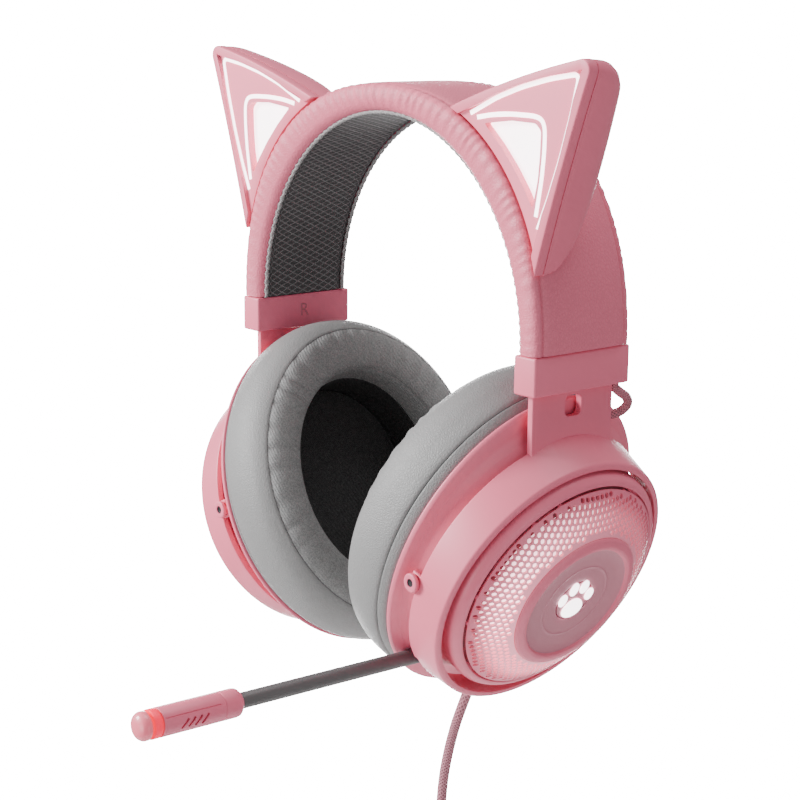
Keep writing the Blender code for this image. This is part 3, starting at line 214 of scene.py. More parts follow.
def round_along(piece, axis, radius, segments):
    """Rounds a block's edges that run along one axis: 0, 1 or 2 for X, Y or Z."""
    choose(piece)
    bpy.ops.object.mode_set(mode="EDIT")
    mesh = bmesh.from_edit_mesh(piece.data)
    for edge in mesh.edges:
        edge.select = abs(edge.verts[0].co[axis] - edge.verts[1].co[axis]) > 5 * MM
    bmesh.update_edit_mesh(piece.data)
    bpy.ops.mesh.bevel(offset=radius, segments=segments)
    bpy.ops.object.mode_set(mode="OBJECT")


def twin(piece, name):
    """The mirror image of a piece for the wearer's other ear, with its own mesh."""
    copy = piece.copy()
    copy.data = piece.data.copy()
    copy.name = copy.data.name = name
    bpy.context.collection.objects.link(copy)
    copy.scale.x = -1
    choose(copy)
    bpy.ops.object.transform_apply(location=False, rotation=False, scale=True)
    close_up(copy)
    bpy.ops.object.shade_smooth_by_angle(angle=radians(40))
    return copy


def eased(points, radius, steps=4, closed=True):
    """A profile with its corners rounded, each by a short arc."""
    points = [Vector(p) for p in points]
    out = []
    for i, here in enumerate(points):
        if not closed and i in (0, len(points) - 1):
            out.append(here)
            continue
        before, after = points[i - 1] - here, points[(i + 1) % len(points)] - here
        a = here + before.normalized() * min(radius, before.length * 0.45)
        b = here + after.normalized() * min(radius, after.length * 0.45)
        for k in range(steps + 1):
            t = k / steps
            out.append(a * (1 - t) ** 2 + here * 2 * t * (1 - t) + b * t * t)
    return out


def flowing(points, per=6, closed=False):
    """A smooth curve through points (Catmull-Rom), with this many steps from each point to the next."""
    points = [Vector(p) for p in points]
    if closed:
        ring = [points[-1], *points, points[0], points[1]]
    else:
        ring = [2 * points[0] - points[1], *points, 2 * points[-1] - points[-2]]
    out = []
    for a, b, c, d in zip(ring, ring[1:], ring[2:], ring[3:]):
        for k in range(per):
            t = k / per
            out.append(0.5 * (2 * b + (c - a) * t + (2 * a - 5 * b + 4 * c - d) * t ** 2
                              + (3 * b - a - 3 * c + d) * t ** 3))
    return out if closed else [*out, points[-1]]


def scaled(points):
    """Points given in millimetres, in metres."""
    return [tuple(c * MM for c in point) for point in points]


def soft_step(t):
    """From 0 to 1 with soft ends."""
    t = min(max(t, 0), 1)
    return t * t * (3 - 2 * t)


def step(points, t, closed=True):
    """The point of a list at t, from 0 to 1, where the grid's own points fall."""
    return points[round(t * len(points)) % len(points)] if closed else points[round(t * (len(points) - 1))]


def slab(name, outline, front, back):
    """A flat piece with its outline in X and Z, from one depth to another."""
    bpy.ops.object.select_all(action="DESELECT")
    bpy.ops.mesh.primitive_circle_add(vertices=len(outline), radius=0.01, fill_type="NGON")
    piece = bpy.context.object
    piece.name = piece.data.name = name
    for vert, (x, z) in zip(piece.data.vertices, outline):
        vert.co = (x, front, z)
    bpy.ops.object.mode_set(mode="EDIT")
    bpy.ops.mesh.select_all(action="SELECT")
    bpy.ops.mesh.extrude_region_move(TRANSFORM_OT_translate={"value": (0, back - front, 0)})
    bpy.ops.mesh.select_all(action="SELECT")
    bpy.ops.mesh.normals_make_consistent(inside=False)
    bpy.ops.object.mode_set(mode="OBJECT")
    return piece


def turned(name, profile, start, axis, around=48, fill=False, smooth=40):
    """A piece turned about an axis, through points (distance along the axis, radius)."""
    axis = Vector(axis).normalized()
    across = axis.orthogonal().normalized()
    beside = axis.cross(across)

    def place(u, v):
        along, radius = step(profile, v, False)
        return Vector(start) + axis * along + radius * (across * cos(tau * u) + beside * sin(tau * u))
    return bent_grid(name, place, around, len(profile) - 1, fill, smooth)


print("helpers ready")

# %% [markdown]
# ## The two curves everything follows
# The headband is an arch: its inside is half an ellipse, and its outside is a little squarer in the
# shoulders. Each ear cup has an axis that leans inwards at the bottom. On a cup, s runs outwards along that
# axis, y runs to the back and v runs up the cup.

# %% Headband arch and ear-cup places
SEAM = -68.3 * MM
HALF_IN, RISE, THICK_END, THICK_TOP = 65.3 * MM, 68.3 * MM, 9.7 * MM, 9.0 * MM
TILT, CENTRE = radians(22.9), (44.3 * MM, -66.8 * MM)


def arch(angle, share, y=0.0):
    """A point of the headband: degrees round from the left end, and 0 inside to 1 outside."""
    power = 2 + 0.2 * share
    c, s = cos(radians(angle)), sin(radians(angle))
    x = (HALF_IN + share * THICK_END) * abs(c) ** (2 / power) * (1 if c >= 0 else -1)
    return Vector((x, y, (RISE + share * THICK_TOP) * abs(s) ** (2 / power) + SEAM))


def arch_in(angle, depth, y):
    """A point of the headband this far in from its outer surface."""
    outer = arch(angle, 1.0)
    out = (outer - arch(angle, 0.0)).normalized()
    return outer - out * depth + Vector((0, y, 0))


def cup(s, y, v):
    """A point of the left cup."""
    return Vector((CENTRE[0] + s * cos(TILT) + v * sin(TILT), y,
                   CENTRE[1] + SEAM - s * sin(TILT) + v * cos(TILT)))


def cup_way(s, y, v):
    """A direction of the left cup."""
    return cup(s, y, v) - cup(0, 0, 0)


def along_cup(place):
    """A place as distance along the left cup's axis, and distance from that axis."""
    away = Vector(place) - cup(0, 0, 0)
    s = away.dot(cup_way(1, 0, 0))
    return s, (away - cup_way(1, 0, 0) * s).length


def cup_ring(name, profile, around=160, closed=True, drop=0.0, fill=False, smooth=40):
    """An oval piece of the cup, through (s, half width, half height) points."""
    def place(u, v):
        s, wide, tall = step(profile, v, closed)
        return cup(s, wide * sin(tau * u), tall * cos(tau * u) - drop)
    return bent_grid(name, place, around, len(profile) - (not closed), fill, smooth)


def cup_block(name, low, high, bevel=0.0):
    """A box with its corners given as (s, y, v), with rounded edges."""
    middle = [(a + b) / 2 for a, b in zip(low, high)]
    piece = block(name, cup(*middle), [b - a for a, b in zip(low, high)], (0, TILT, 0))
    if bevel:
        change(piece, "BEVEL", width=bevel, segments=3)
    return piece


def rod(name, start, axis, radius, length, around=32):
    """A plain cylinder used as a drill or a pin."""
    return turned(name, [(0, 0), (0, radius), (length, radius), (length, 0)], start, axis, around)


print("arch top outside", [round(c, 4) for c in arch(90, 1)])

# %% [markdown]
# ## Materials
# Each finish is one node material. A texture that several finishes share is a node group with named
# sockets: the fine moulded grain of the plastics, the pebbled grain of leatherette, the diamond lattice of
# the lining's mesh, a heathered knit and a diagonal braid. The groups give out only colours, masks and
# heights, and each material's own shader stays in the material, so a finish can be changed without touching
# its texture.


# %% Node helpers
def node(tree, kind, inputs=None, **settings):
    """Adds a shader node, sets it, and joins or sets its inputs."""
    made = tree.nodes.new("ShaderNode" + kind)
    for key, value in settings.items():
        setattr(made, key, value)
    for key, value in (inputs or {}).items():
        if isinstance(value, bpy.types.NodeSocket):
            tree.links.new(value, made.inputs[key])
        else:
            made.inputs[key].default_value = value
    return made


def math_node(tree, operation, a, b=0.0, c=0.0):
    return node(tree, "Math", {0: a, 1: b, 2: c}, operation=operation).outputs[0]


def texture_group(name, inputs, outputs):
    """A node group with named sockets, and its input and output nodes."""
    tree = bpy.data.node_groups.new(name, "ShaderNodeTree")
    for label, kind, value in inputs:
        socket = tree.interface.new_socket(label, in_out="INPUT", socket_type="NodeSocket" + kind)
        if value is not None:
            socket.default_value = value
    for label, kind in outputs:
        tree.interface.new_socket(label, in_out="OUTPUT", socket_type="NodeSocket" + kind)
    return tree, tree.nodes.new("NodeGroupInput").outputs, tree.nodes.new("NodeGroupOutput").inputs


def finish(name, colour, roughness, metallic=0.0, **sockets):
    """A material with its shader's constants set, its tree, and its shader."""
    made = bpy.data.materials.new(name)
    made.use_nodes = True
    shader = made.node_tree.nodes["Principled BSDF"]
    shader.inputs["Base Color"].default_value = (*colour, 1)
    shader.inputs["Roughness"].default_value = roughness
    shader.inputs["Metallic"].default_value = metallic
    for key, value in sockets.items():
        shader.inputs[key.replace("_", " ").title()].default_value = value
    return made, made.node_tree, shader.inputs


def use_group(tree, group, **values):
    made = tree.nodes.new("ShaderNodeGroup")
    made.node_tree = group
    for key, value in values.items():
        socket = made.inputs[key.replace("_", " ").title()]
        if isinstance(value, bpy.types.NodeSocket):
            tree.links.new(value, socket)
        else:
            socket.default_value = value
    return made.outputs


def bump(tree, shader, height, strength, distance):
    tree.links.new(
        node(tree, "Bump", {"Strength": strength, "Distance": distance, "Height": height}).outputs[0],
        shader["Normal"])


# %% Textures
grain, ins, outs = texture_group("moulded grain",
                                 [("Vector", "Vector", None), ("Colour", "Color", (1, 1, 1, 1))],
                                 [("Colour", "Color"), ("Height", "Float"), ("Roughness", "Float")])
fine = node(grain, "TexNoise", {"Vector": ins["Vector"], "Scale": 2600.0, "Detail": 2.0}).outputs[0]
broad = node(grain, "TexNoise", {"Vector": ins["Vector"], "Scale": 45.0, "Detail": 2.0}).outputs[0]
tone = node(grain, "MapRange", {"Value": broad, "To Min": 0.975, "To Max": 1.025}).outputs[0]
grain.links.new(node(grain, "VectorMath", {0: ins["Colour"], "Scale": tone}, operation="SCALE").outputs[0],
                outs["Colour"])
grain.links.new(fine, outs["Height"])
grain.links.new(node(grain, "MapRange", {"Value": broad, "To Min": 0.40, "To Max": 0.50}).outputs[0],
                outs["Roughness"])

hide, ins, outs = texture_group("leather grain",
                                [("Vector", "Vector", None), ("Colour", "Color", (1, 1, 1, 1)),
                                 ("Scale", "Float", 900.0)],
                                [("Colour", "Color"), ("Height", "Float")])
warp = node(hide, "TexNoise", {"Vector": ins["Vector"], "Scale": 700.0}).outputs[1]
moved = node(hide, "VectorMath", {0: warp, 1: (0.0009, 0.0009, 0.0009), 2: ins["Vector"]},
             operation="MULTIPLY_ADD").outputs[0]
pebble = node(hide, "TexVoronoi", {"Vector": moved, "Scale": ins["Scale"]},
              feature="DISTANCE_TO_EDGE").outputs[0]
pebble = node(hide, "MapRange", {"Value": pebble, "From Max": 0.25}).outputs[0]
crease = node(hide, "TexNoise", {"Vector": ins["Vector"], "Scale": 160.0, "Detail": 4.0}).outputs[0]
height = math_node(hide, "MULTIPLY_ADD", crease, 0.35, pebble)
tone = node(hide, "MapRange", {"Value": height, "From Max": 1.3, "To Min": 0.94, "To Max": 1.03}).outputs[0]
hide.links.new(node(hide, "VectorMath", {0: ins["Colour"], "Scale": tone}, operation="SCALE").outputs[0],
               outs["Colour"])
hide.links.new(height, outs["Height"])

weave, ins, outs = texture_group("diagonal weave", [("Vector", "Vector", None), ("Across", "Float", 10.0),
                                                    ("Along", "Float", 10.0), ("Line", "Float", 0.3)],
                                 [("Mask", "Float"), ("Height", "Float")])
parts = node(weave, "SeparateXYZ", {0: ins["Vector"]}).outputs
u = math_node(weave, "MULTIPLY", parts[0], ins["Across"])
v = math_node(weave, "MULTIPLY", parts[1], ins["Along"])
ridges = []
for way in ("ADD", "SUBTRACT"):
    wave = math_node(weave, "PINGPONG", math_node(weave, way, u, v), 0.5)
    ridges.append(math_node(weave, "MULTIPLY", wave, 2.0))
nearest = math_node(weave, "MINIMUM", *ridges)
line = node(weave, "MapRange", {"Value": nearest, "From Max": ins["Line"], "To Min": 1.0, "To Max": 0.0},
            interpolation_type="SMOOTHSTEP").outputs[0]
weave.links.new(line, outs["Mask"])
weave.links.new(math_node(weave, "MULTIPLY", *ridges), outs["Height"])

knit, ins, outs = texture_group("heathered knit",
                                [("Vector", "Vector", None), ("Dark", "Color", (0, 0, 0, 1)),
                                 ("Light", "Color", (1, 1, 1, 1))],
                                [("Colour", "Color"), ("Height", "Float")])
threads = node(knit, "TexWave", {"Vector": ins["Vector"], "Scale": 420.0, "Distortion": 3.0, "Detail": 2.0},
               bands_direction="DIAGONAL").outputs[1]
fleck = node(knit, "TexNoise", {"Vector": ins["Vector"], "Scale": 2600.0, "Detail": 3.0}).outputs[0]
mix = node(knit, "MapRange", {"Value": fleck, "From Min": 0.36, "From Max": 0.64}).outputs[0]
blend = node(knit, "Mix", {"Factor": mix, 6: ins["Dark"], 7: ins["Light"]}, data_type="RGBA").outputs[2]
knit.links.new(blend, outs["Colour"])
knit.links.new(math_node(knit, "MULTIPLY_ADD", threads, 0.6, fleck), outs["Height"])
print("textures:", [g.name for g in bpy.data.node_groups])


# %% Finishes
def plastic(name, colour, strength=0.12, **sockets):
    """A moulded plastic with a fine grain."""
    made, tree, shader = finish(name, colour, 0.45, **sockets)
    where = node(tree, "TexCoord").outputs["Object"]
    out = use_group(tree, grain, vector=where, colour=(*colour, 1))
    tree.links.new(out["Colour"], shader["Base Color"])
    tree.links.new(out["Roughness"], shader["Roughness"])
    bump(tree, shader, out["Height"], strength, 0.0001)
    return made


def leather(name, colour, strength=0.5, scale=900.0, **sockets):
    """A leatherette with a pebbled grain."""
    made, tree, shader = finish(name, colour, 0.52, **sockets)
    where = node(tree, "TexCoord").outputs["Object"]
    out = use_group(tree, hide, vector=where, colour=(*colour, 1), scale=scale)
    tree.links.new(out["Colour"], shader["Base Color"])
    bump(tree, shader, out["Height"], strength, 0.00025)
    return made


def woven(name, dark, light, across, along, line, strength, roughness=0.85, distance=0.0003):
    """A cloth or braid whose threads run diagonally in the piece's own UV map."""
    made, tree, shader = finish(name, dark, roughness)
    where = node(tree, "TexCoord").outputs["UV"]
    out = use_group(tree, weave, vector=where, across=across, along=along, line=line)
    mixed = node(tree, "Mix", {"Factor": out["Mask"], 6: (*dark, 1), 7: (*light, 1)},
                 data_type="RGBA").outputs[2]
    tree.links.new(mixed, shader["Base Color"])
    bump(tree, shader, out["Height"] if line < 0.3 else out["Mask"], strength, distance)
    return made


def cloth(name, dark, light, strength=0.6):
    """A knit or felt of dark and light threads."""
    made, tree, shader = finish(name, dark, 0.9)
    where = node(tree, "TexCoord").outputs["Object"]
    out = use_group(tree, knit, vector=where, dark=(*dark, 1), light=(*light, 1))
    tree.links.new(out["Colour"], shader["Base Color"])
    bump(tree, shader, out["Height"], strength, 0.0003)
    return made


def lit_by_attribute(made, colour):
    """Lets a piece's own "glow" attribute set how brightly it glows; on the grille, which is no lamp, this is
    a painted glow of the light behind it.
    """
    tree = made.node_tree
    shader = tree.nodes["Principled BSDF"].inputs
    glow = node(tree, "Attribute", attribute_name="glow").outputs["Fac"]
    lit = node(tree, "VectorMath", {0: colour, "Scale": glow}, operation="SCALE").outputs[0]
    tree.links.new(lit, shader["Emission Color"])
    shader["Emission Strength"].default_value = 1.0
    return made


def lamp_finish(name, colour, strength):
    """A lit diffuser, a little uneven, as light-guide plastic is."""
    made, tree, shader = finish(name, colour, 0.5, emission_strength=strength)
    where = node(tree, "TexCoord").outputs["Object"]
    uneven = node(tree, "TexNoise", {"Vector": where, "Scale": 60.0}).outputs[0]
    tone = node(tree, "MapRange", {"Value": uneven, "To Min": 0.94, "To Max": 1.06}).outputs[0]
    lit = node(tree, "VectorMath", {0: colour, "Scale": tone}, operation="SCALE").outputs[0]
    tree.links.new(lit, shader["Emission Color"])
    return made


PINK, PINK_GREY = (0.80, 0.165, 0.255), (0.55, 0.185, 0.245)
shell = plastic("pink satin plastic", PINK)
trim = plastic("pink gloss plastic", (0.72, 0.19, 0.26), 0.03, coat_weight=0.5)
dish_pink = plastic("greyed pink plastic", PINK_GREY)
pink_hide = leather("pink leatherette", (0.72, 0.155, 0.235), 0.28)
grey_hide = leather("grey leatherette", (0.235, 0.232, 0.232), 0.34, 1100.0)
grey_knit = cloth("grey heathered knit", (0.185, 0.185, 0.185), (0.31, 0.307, 0.307), 0.5)
black_cloth = cloth("black speaker cloth", (0.02, 0.02, 0.02), (0.055, 0.055, 0.055))
lining_mesh = woven("grey diamond mesh", (0.06, 0.056, 0.058), (0.21, 0.20, 0.205), 15.0, 95.0, 0.34, 0.6)
piping_grey = cloth("grey piping yarn", (0.22, 0.21, 0.21), (0.42, 0.41, 0.41))
stitch = cloth("dark seam", (0.10, 0.098, 0.098), (0.17, 0.165, 0.165))
rubber = plastic("dark warm rubber", (0.105, 0.10, 0.102), 0.25)
# Black plastic, also used as the painted shade in the middle of the pivot pins.
black_plastic_and_hole_shade = plastic("black plastic", (0.02, 0.02, 0.021))
braid = woven("mauve braid", (0.17, 0.05, 0.068), (0.50, 0.20, 0.25), 8.0, 460.0, 0.9, 0.8, 0.7)
short_braid = woven("short mauve braid", (0.22, 0.06, 0.085), (0.60, 0.22, 0.28), 8.0, 20.0, 0.9, 0.8, 0.7)
white_light = lamp_finish("white light", (1.0, 0.90, 0.92), 5.0)
# The mute button is no lamp: its emission is a painted red glow that stands for the light of the mute ring
# beside it.
tip_painted_red_glow = plastic("lit pink tip", (0.76, 0.16, 0.22), 0.03, coat_weight=0.4,
                  emission_color=(0.30, 0.03, 0.05, 1.0), emission_strength=1.0)
shade = plastic("shaded pink plastic", (0.22, 0.05, 0.07))
# The ear's recessed panel is no lamp: its emission is a painted glow that stands for the light of the lines
# of light round it.
panel_painted_glow = plastic("lit pink panel", PINK, emission_color=(0.30, 0.11, 0.14, 1.0), emission_strength=1.0)
# The grille is no lamp: its emission, set by the glow attribute, is a painted glow of the diffuser's light
# behind it.
mesh_painted_glow = lit_by_attribute(plastic("lit pink mesh", PINK), (0.75, 0.38, 0.45))
pink_light = lit_by_attribute(plastic("pink-white diffuser", (0.6, 0.3, 0.35)), (4.2, 3.3, 3.5))
red_light = lamp_finish("red light", (0.95, 0.004, 0.05), 0.8)
steel = plastic("brushed steel", (0.55, 0.55, 0.56), 0.2, metallic=1.0)
board_green = plastic("circuit board", (0.02, 0.12, 0.06))
foam = cloth("padding foam", (0.25, 0.25, 0.26), (0.40, 0.40, 0.41))
ink = plastic("dark pink print", (0.50, 0.12, 0.17))
print("finishes:", len(bpy.data.materials))


# %% Giving a piece its finish, its body and its place in the model
def dress(piece, materials, body, slot, *nodes):
    """Finishes a piece, says which body it moves with, and which mechanical parts it stands for."""
    for material in materials if isinstance(materials, (list, tuple)) else [materials]:
        piece.data.materials.append(material)
    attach(piece, body)
    if nodes:
        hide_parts(*nodes)
    return piece


def paint(piece, index, test):
    """Gives the faces whose centre passes a test another of the piece's finishes."""
    for face in piece.data.polygons:
        if test(face.center):
            face.material_index = index


# %% [markdown]
# ## The cord
# The cord is a rubbery jacket under a woven cover, 3.5 mm through and 1.3 m long. As sold it leaves the
# cup's lower end, hangs in a gentle curve, and is gathered into a coil of nine turns, held by a soft tie.
# The turns are packed three by three, so each strand lies beside the last and never inside it. SLOTS says
# where each strand lies in the bundle, and STEPS at what share of a turn the cord moves over to the next
# place. The last turn comes out at the back of the bundle and hangs straight down to the plug. A path of
# points is the clearest way to say all of this.

# %% Route of the cord
COIL = Vector((-12.6, 4.1, -282.0)) * MM
COIL_RADIUS = 21.0 * MM
SLOTS = [(3.6, -3.6), (3.6, 0), (3.6, 3.6), (0, 3.6), (0, 0), (0, -3.6), (-3.6, -3.6), (-3.6, 0), (-3.6, 3.6)]
STEPS = [0.75, 0.75, 0.6, 0.45, 0.45, 0.3, 0.15, 0.15]
STEP_LENGTH = 0.12
LEAVING = 3.9


def coil_point(turn):
    """A point of the coil after this many turns, from the right-hand side round by the bottom."""
    strand = min(int(turn), len(SLOTS) - 1)
    share = turn - strand
    dr, dy = SLOTS[strand]
    for way, k in ((-1, strand - 1), (1, strand)):
        if 0 <= k < len(STEPS):
            moved = soft_step(((share if way > 0 else share + 1) - STEPS[k]) / STEP_LENGTH + 0.5)
            other = SLOTS[k + 1] if way > 0 else SLOTS[k]
            part = moved if way > 0 else 1 - moved
            dr, dy = dr + (other[0] - dr) * part, dy + (other[1] - dy) * part
    if strand == len(SLOTS) - 1:
        dy += LEAVING * soft_step((share - 0.7) / 0.28)
    angle = -tau * turn
    radius = COIL_RADIUS + dr * MM
    return COIL + Vector((radius * cos(angle), dy * MM, radius * sin(angle)))


near_cup = [cup(5.2 * MM, 0, -v * MM) for v in (56.0, 58.3)]
hanging = scaled([(21.0, 0.1, -203.2), (18.4, 0.2, -210.2), (16.0, 0.3, -218.0), (14.0, 0.4, -226.5),
                  (12.7, 0.5, -236.0), (12.1, 0.5, -248.0)])
lead_in = flowing(near_cup + hanging, 3)
lead_in.append(Vector((12.0, 0.5, -268.4)) * MM)
coils = [coil_point(k / 20) for k in range(1, 20 * len(SLOTS) + 1)]
lead_out = [Vector((4.8, 11.6, z)) * MM for z in (-290.0, -300.0, -308.0, -317.2)]
cord_route = lead_in + coils + lead_out
length = sum((b - a).length for a, b in zip(cord_route, cord_route[1:]))
print("cord", len(cord_route), "points,", round(length, 3), "m; gap coil to lead", [
    round((a - b).length * 1000, 1) for a, b in ((lead_in[-1], coils[0]), (coils[-1], lead_out[0]))])


# %% Tubes along a route
def tube(name, route, radius, around=10, twist=0.0, lobes=0, depth=0.0):
    """A closed tube along a route, with lobes that wind round it for a twisted cord."""
    route = [Vector(p) for p in route]
    ways = [(b - a).normalized() for a, b in zip([route[0], *route[:-1]], [*route[1:], route[-1]])]
    normal = ways[0].orthogonal().normalized()
    frames = []
    for way in ways:
        normal = (normal - way * normal.dot(way)).normalized()
        frames.append((normal.copy(), way.cross(normal)))

    def place(u, v):
        i = round(v * (len(route) - 1))
        a = tau * u
        reach = radius * (1 - depth + depth * cos(lobes * (a - twist * i))) if lobes else radius
        return route[i] + frames[i][0] * cos(a) * reach + frames[i][1] * sin(a) * reach
    return bent_grid(name, place, around, len(route) - 1, fill=True, smooth=60)


cord = tube("woven_cord", cord_route, 1.75 * MM, 12)
dress(cord, braid, "cup_left", "braid", "cord", "cord_coil", "cord_tail")
tuple(cord_route[0])
[tuple(p) for p in cord_route]
print("cord piece", len(cord.data.polygons), "faces")

# %% [markdown]
# ## Headband
# The band is a sprung arch inside a sleeve of leatherette. The sleeve is drawn over the front and back
# edges and stitched near each edge of the crown, so the material gathers there: small puckers run out from
# the seam and die away down the rolled edge. They are deepest over the top, where the arch is bent most. A
# section swept round the arch gives the shape, and a ripple along the arch, kept to the rolls, gives the
# puckers.

# %% Headband cover
PUCKERS = 60
ROLL_FROM, ROLL_TO = 17.4, 8.4


def pucker(angle, depth, y):
    """How far the cover stands proud at a place on the band's rolled edges, in millimetres."""
    if abs(y) < ROLL_FROM or depth > ROLL_TO:
        return 0.0
    phase = angle / 180 * PUCKERS + 1.1 * noise.noise(Vector((angle * 0.09, y > 0, 0)))
    wave = 1 - abs(cos(pi * phase)) ** 1.6
    top = 0.22 + 0.78 * sin(radians(angle)) ** 1.3
    uneven = 0.75 + 0.75 * noise.noise(Vector((angle * 0.3, 5 + (y > 0), 0)))
    round_it = min(max(depth / 1.2, 0), 1) * min(max((ROLL_TO - depth) / 5.5, 0), 1)
    return (wave - 0.5) * 0.85 * top * uneven * round_it


crown = [(0.0, 0.0), (0.0, 6.0), (0.02, 11.0), (0.10, 14.5), (0.28, 16.2), (0.55, 16.9), (0.95, 17.3),
         (0.62, 17.7), (0.42, 18.2), (0.62, 18.9), (1.1, 19.55), (1.8, 20.05), (2.7, 20.35), (3.7, 20.5),
         (4.7, 20.5), (5.6, 20.35)]
under = [(2.6, 20.0), (1.7, 19.5), (0.95, 18.9), (0.4, 18.2), (0.05, 17.5), (0.3, 17.0), (2.0, 17.0),
         (5.0, 17.0)]


def cover_row(angle):
    thick = (arch(angle, 1) - arch(angle, 0)).length / MM
    side = crown + [(thick - d, y) for d, y in under] + [(2.2, 16.9), (2.2, 12.0), (2.2, 0.0)]
    return [(d, y) for d, y in side] + [(d, -y) for d, y in side[-2:0:-1]]


cover_rows = {}


def cover_place(u, v):
    angle = 180 * v
    if v not in cover_rows:
        cover_rows[v] = cover_row(angle)
    depth, y = step(cover_rows[v], u)
    proud = pucker(angle, depth, y)
    lean = min(max(depth / 3.5, 0), 1)
    return arch_in(angle, (depth - proud * (1 - lean)) * MM, (y + proud * lean * (1 if y > 0 else -1)) * MM)


cover = bent_grid("headband_sleeve", cover_place, len(cover_row(90)), 720, fill=True, smooth=60)
dress(cover, pink_hide, "headband", "pink_leather", "headband_cover")
print("sleeve", len(cover.data.polygons), "faces; section", len(cover_row(90)), "points")

# %% [markdown]
# ## Lining and piping
# Inside the arch a strip of open diamond mesh over thin padding touches the head. It bulges a little in the
# middle. A twisted yarn is sewn along both of its edges to hide the join. A padded strip this thin keeps
# the shape of the arch, so it is swept too, with its middle raised, and the mesh is a texture in its own UV
# map.

# %% Lining and its piping
inside = [(0.55, 16.6), (0.15, 15.9), (0.0, 14.5), (0.0, 10.0), (0.0, 5.0), (0.0, 0.0)]


def lining_place(u, v):
    angle = 180 * v
    row = inside + [(d, -y) for d, y in inside[-2::-1]]
    row += [(2.2, -16.6), (2.2, 0.0), (2.2, 16.6)]
    d, y = step(row, u)
    thick = (arch(angle, 1) - arch(angle, 0)).length / MM
    return arch_in(angle, (thick - d) * MM, y * MM)


lining = bent_grid("lining_pad", lining_place, 14, 216, fill=True, smooth=60)
dress(lining, lining_mesh, "headband", "grey_mesh", "headband_lining")

pipings = []
for label, side in (("front", -1), ("back", 1)):
    route = []
    for k in range(541):
        angle = 180 * k / 540
        thick = (arch(angle, 1) - arch(angle, 0)).length
        route.append(arch_in(angle, thick + 0.3 * MM, side * 17.0 * MM))
    piping = tube(f"piping_{label}", route, 0.8 * MM, 10, 0.42, 2, 0.2)
    dress(piping, piping_grey, "headband", "grey_mesh")
    pipings.append(piping)
print("lining", len(lining.data.polygons), "faces, piping", len(pipings[0].data.polygons))

# %% [markdown]
# ## End caps
# Each end of the band is closed by a moulded block with rounded corners. A narrow slot in its lower face
# takes the sliding plate's tongue. A cube with its upright corners rounded generously, then all edges
# slightly, is the whole shape, and one boolean cuts the slot. A small letter on each cap's inner face says
# which ear it is for.

# %% End caps
cad_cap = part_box("end_cap_left")


def end_cap():
    low, high = cad_cap
    middle, size = [(a + b) / 2 for a, b in zip(low, high)], [b - a for a, b in zip(low, high)]
    cap = block("cap_block_left", middle, size)
    round_along(cap, 2, 2.5 * MM, 8)
    change(cap, "BEVEL", width=0.7 * MM, segments=4, limit_method="ANGLE", angle_limit=radians(50))
    combine(cap, block("slot", (69.5 * MM, 0, SEAM), (2.9 * MM, 24.5 * MM, 40 * MM)))
    choose(cap)
    bpy.ops.object.shade_smooth_by_angle(angle=radians(40))
    return cap


cap_left = end_cap()
cap_left.data.name = cap_left.name
cap_right = twin(cap_left, "cap_block_right")
for cap, name in ((cap_left, "end_cap_left"), (cap_right, "end_cap_right")):
    dress(cap, shell, "headband", "pink_shell", name)
for letter, sign in (("R", -1), ("L", 1)):
    bpy.ops.object.text_add()
    mark = bpy.context.object
    mark.data.body, mark.data.size, mark.data.extrude = letter, 6.5 * MM, 0.06 * MM
    mark.data.align_x, mark.data.align_y = "CENTER", "CENTER"
    bpy.ops.object.convert(target="MESH")
    mark = bpy.context.object
    mark.name = mark.data.name = f"side_letter_{letter}"
    turn = Matrix(((0, 0, -sign), (-sign, 0, 0), (0, 1, 0))).to_4x4()
    mark.data.transform(Matrix.Translation((sign * 65.28 * MM, 0, SEAM - 6.2 * MM)) @ turn)
    close_up(mark)
    dress(mark, ink, "headband", "pink_gloss")
print("end cap", [round((b - a) / MM, 1) for a, b in zip(*cad_cap)], "mm")

# %% [markdown]
# ## Cat ears
# Each ear is a flat front frame with a raised rim on its two free edges, and a domed back. A thin white
# line of light runs inside the rim, a second one goes round a lit triangular window, and both are ribs of
# one light-guide sheet that stands behind. The frame is a slab with an outline, a recess cut from its face
# and openings cut through it, because that is how a moulding tool would make it.

# %% Ear outline and frame
OUTER_LINE = ((42.6, 69.7), (54.0, 74.8), (64.5, 78.2), (76.0, 80.9), (87.4, 82.6), (84.6, 71.0),
              (80.6, 58.0), (76.3, 46.6), (72.3, 37.6))
INNER_LINE = ((45.6, 68.6), (52.0, 69.7), (60.0, 70.2), (70.0, 70.1), (73.0, 69.2), (74.3, 66.6),
              (74.2, 60.0), (73.4, 52.0), (71.4, 41.2))
WINDOW = ((48.6, 67.0), (60.0, 68.3), (70.4, 68.0), (72.6, 66.0), (72.4, 59.0), (71.8, 52.0), (69.9, 43.4),
          (66.5, 48.6), (61.5, 54.8), (55.5, 61.0))
TIP = Vector((94.2 * MM, 88.4 * MM + SEAM))
FOOT_LOW, FOOT_HIGH = 15.8, 65.3
EDGE_POINTS, TIP_POINTS = 10, 9
FREE_POINTS = 2 * EDGE_POINTS + TIP_POINTS + 1


def band_edge(angle, off):
    """A point in X and Z at a distance above the band."""
    place = arch_in(angle, -off, 0)
    return Vector((place.x, place.z))


def bowed(a, b, bow, count):
    """A slightly bowed line, without its last point."""
    run = b - a
    left = Vector((-run.y, run.x)).normalized()
    return [a + run * t + left * bow * 4 * t * (1 - t) for t in (i / count for i in range(count))]


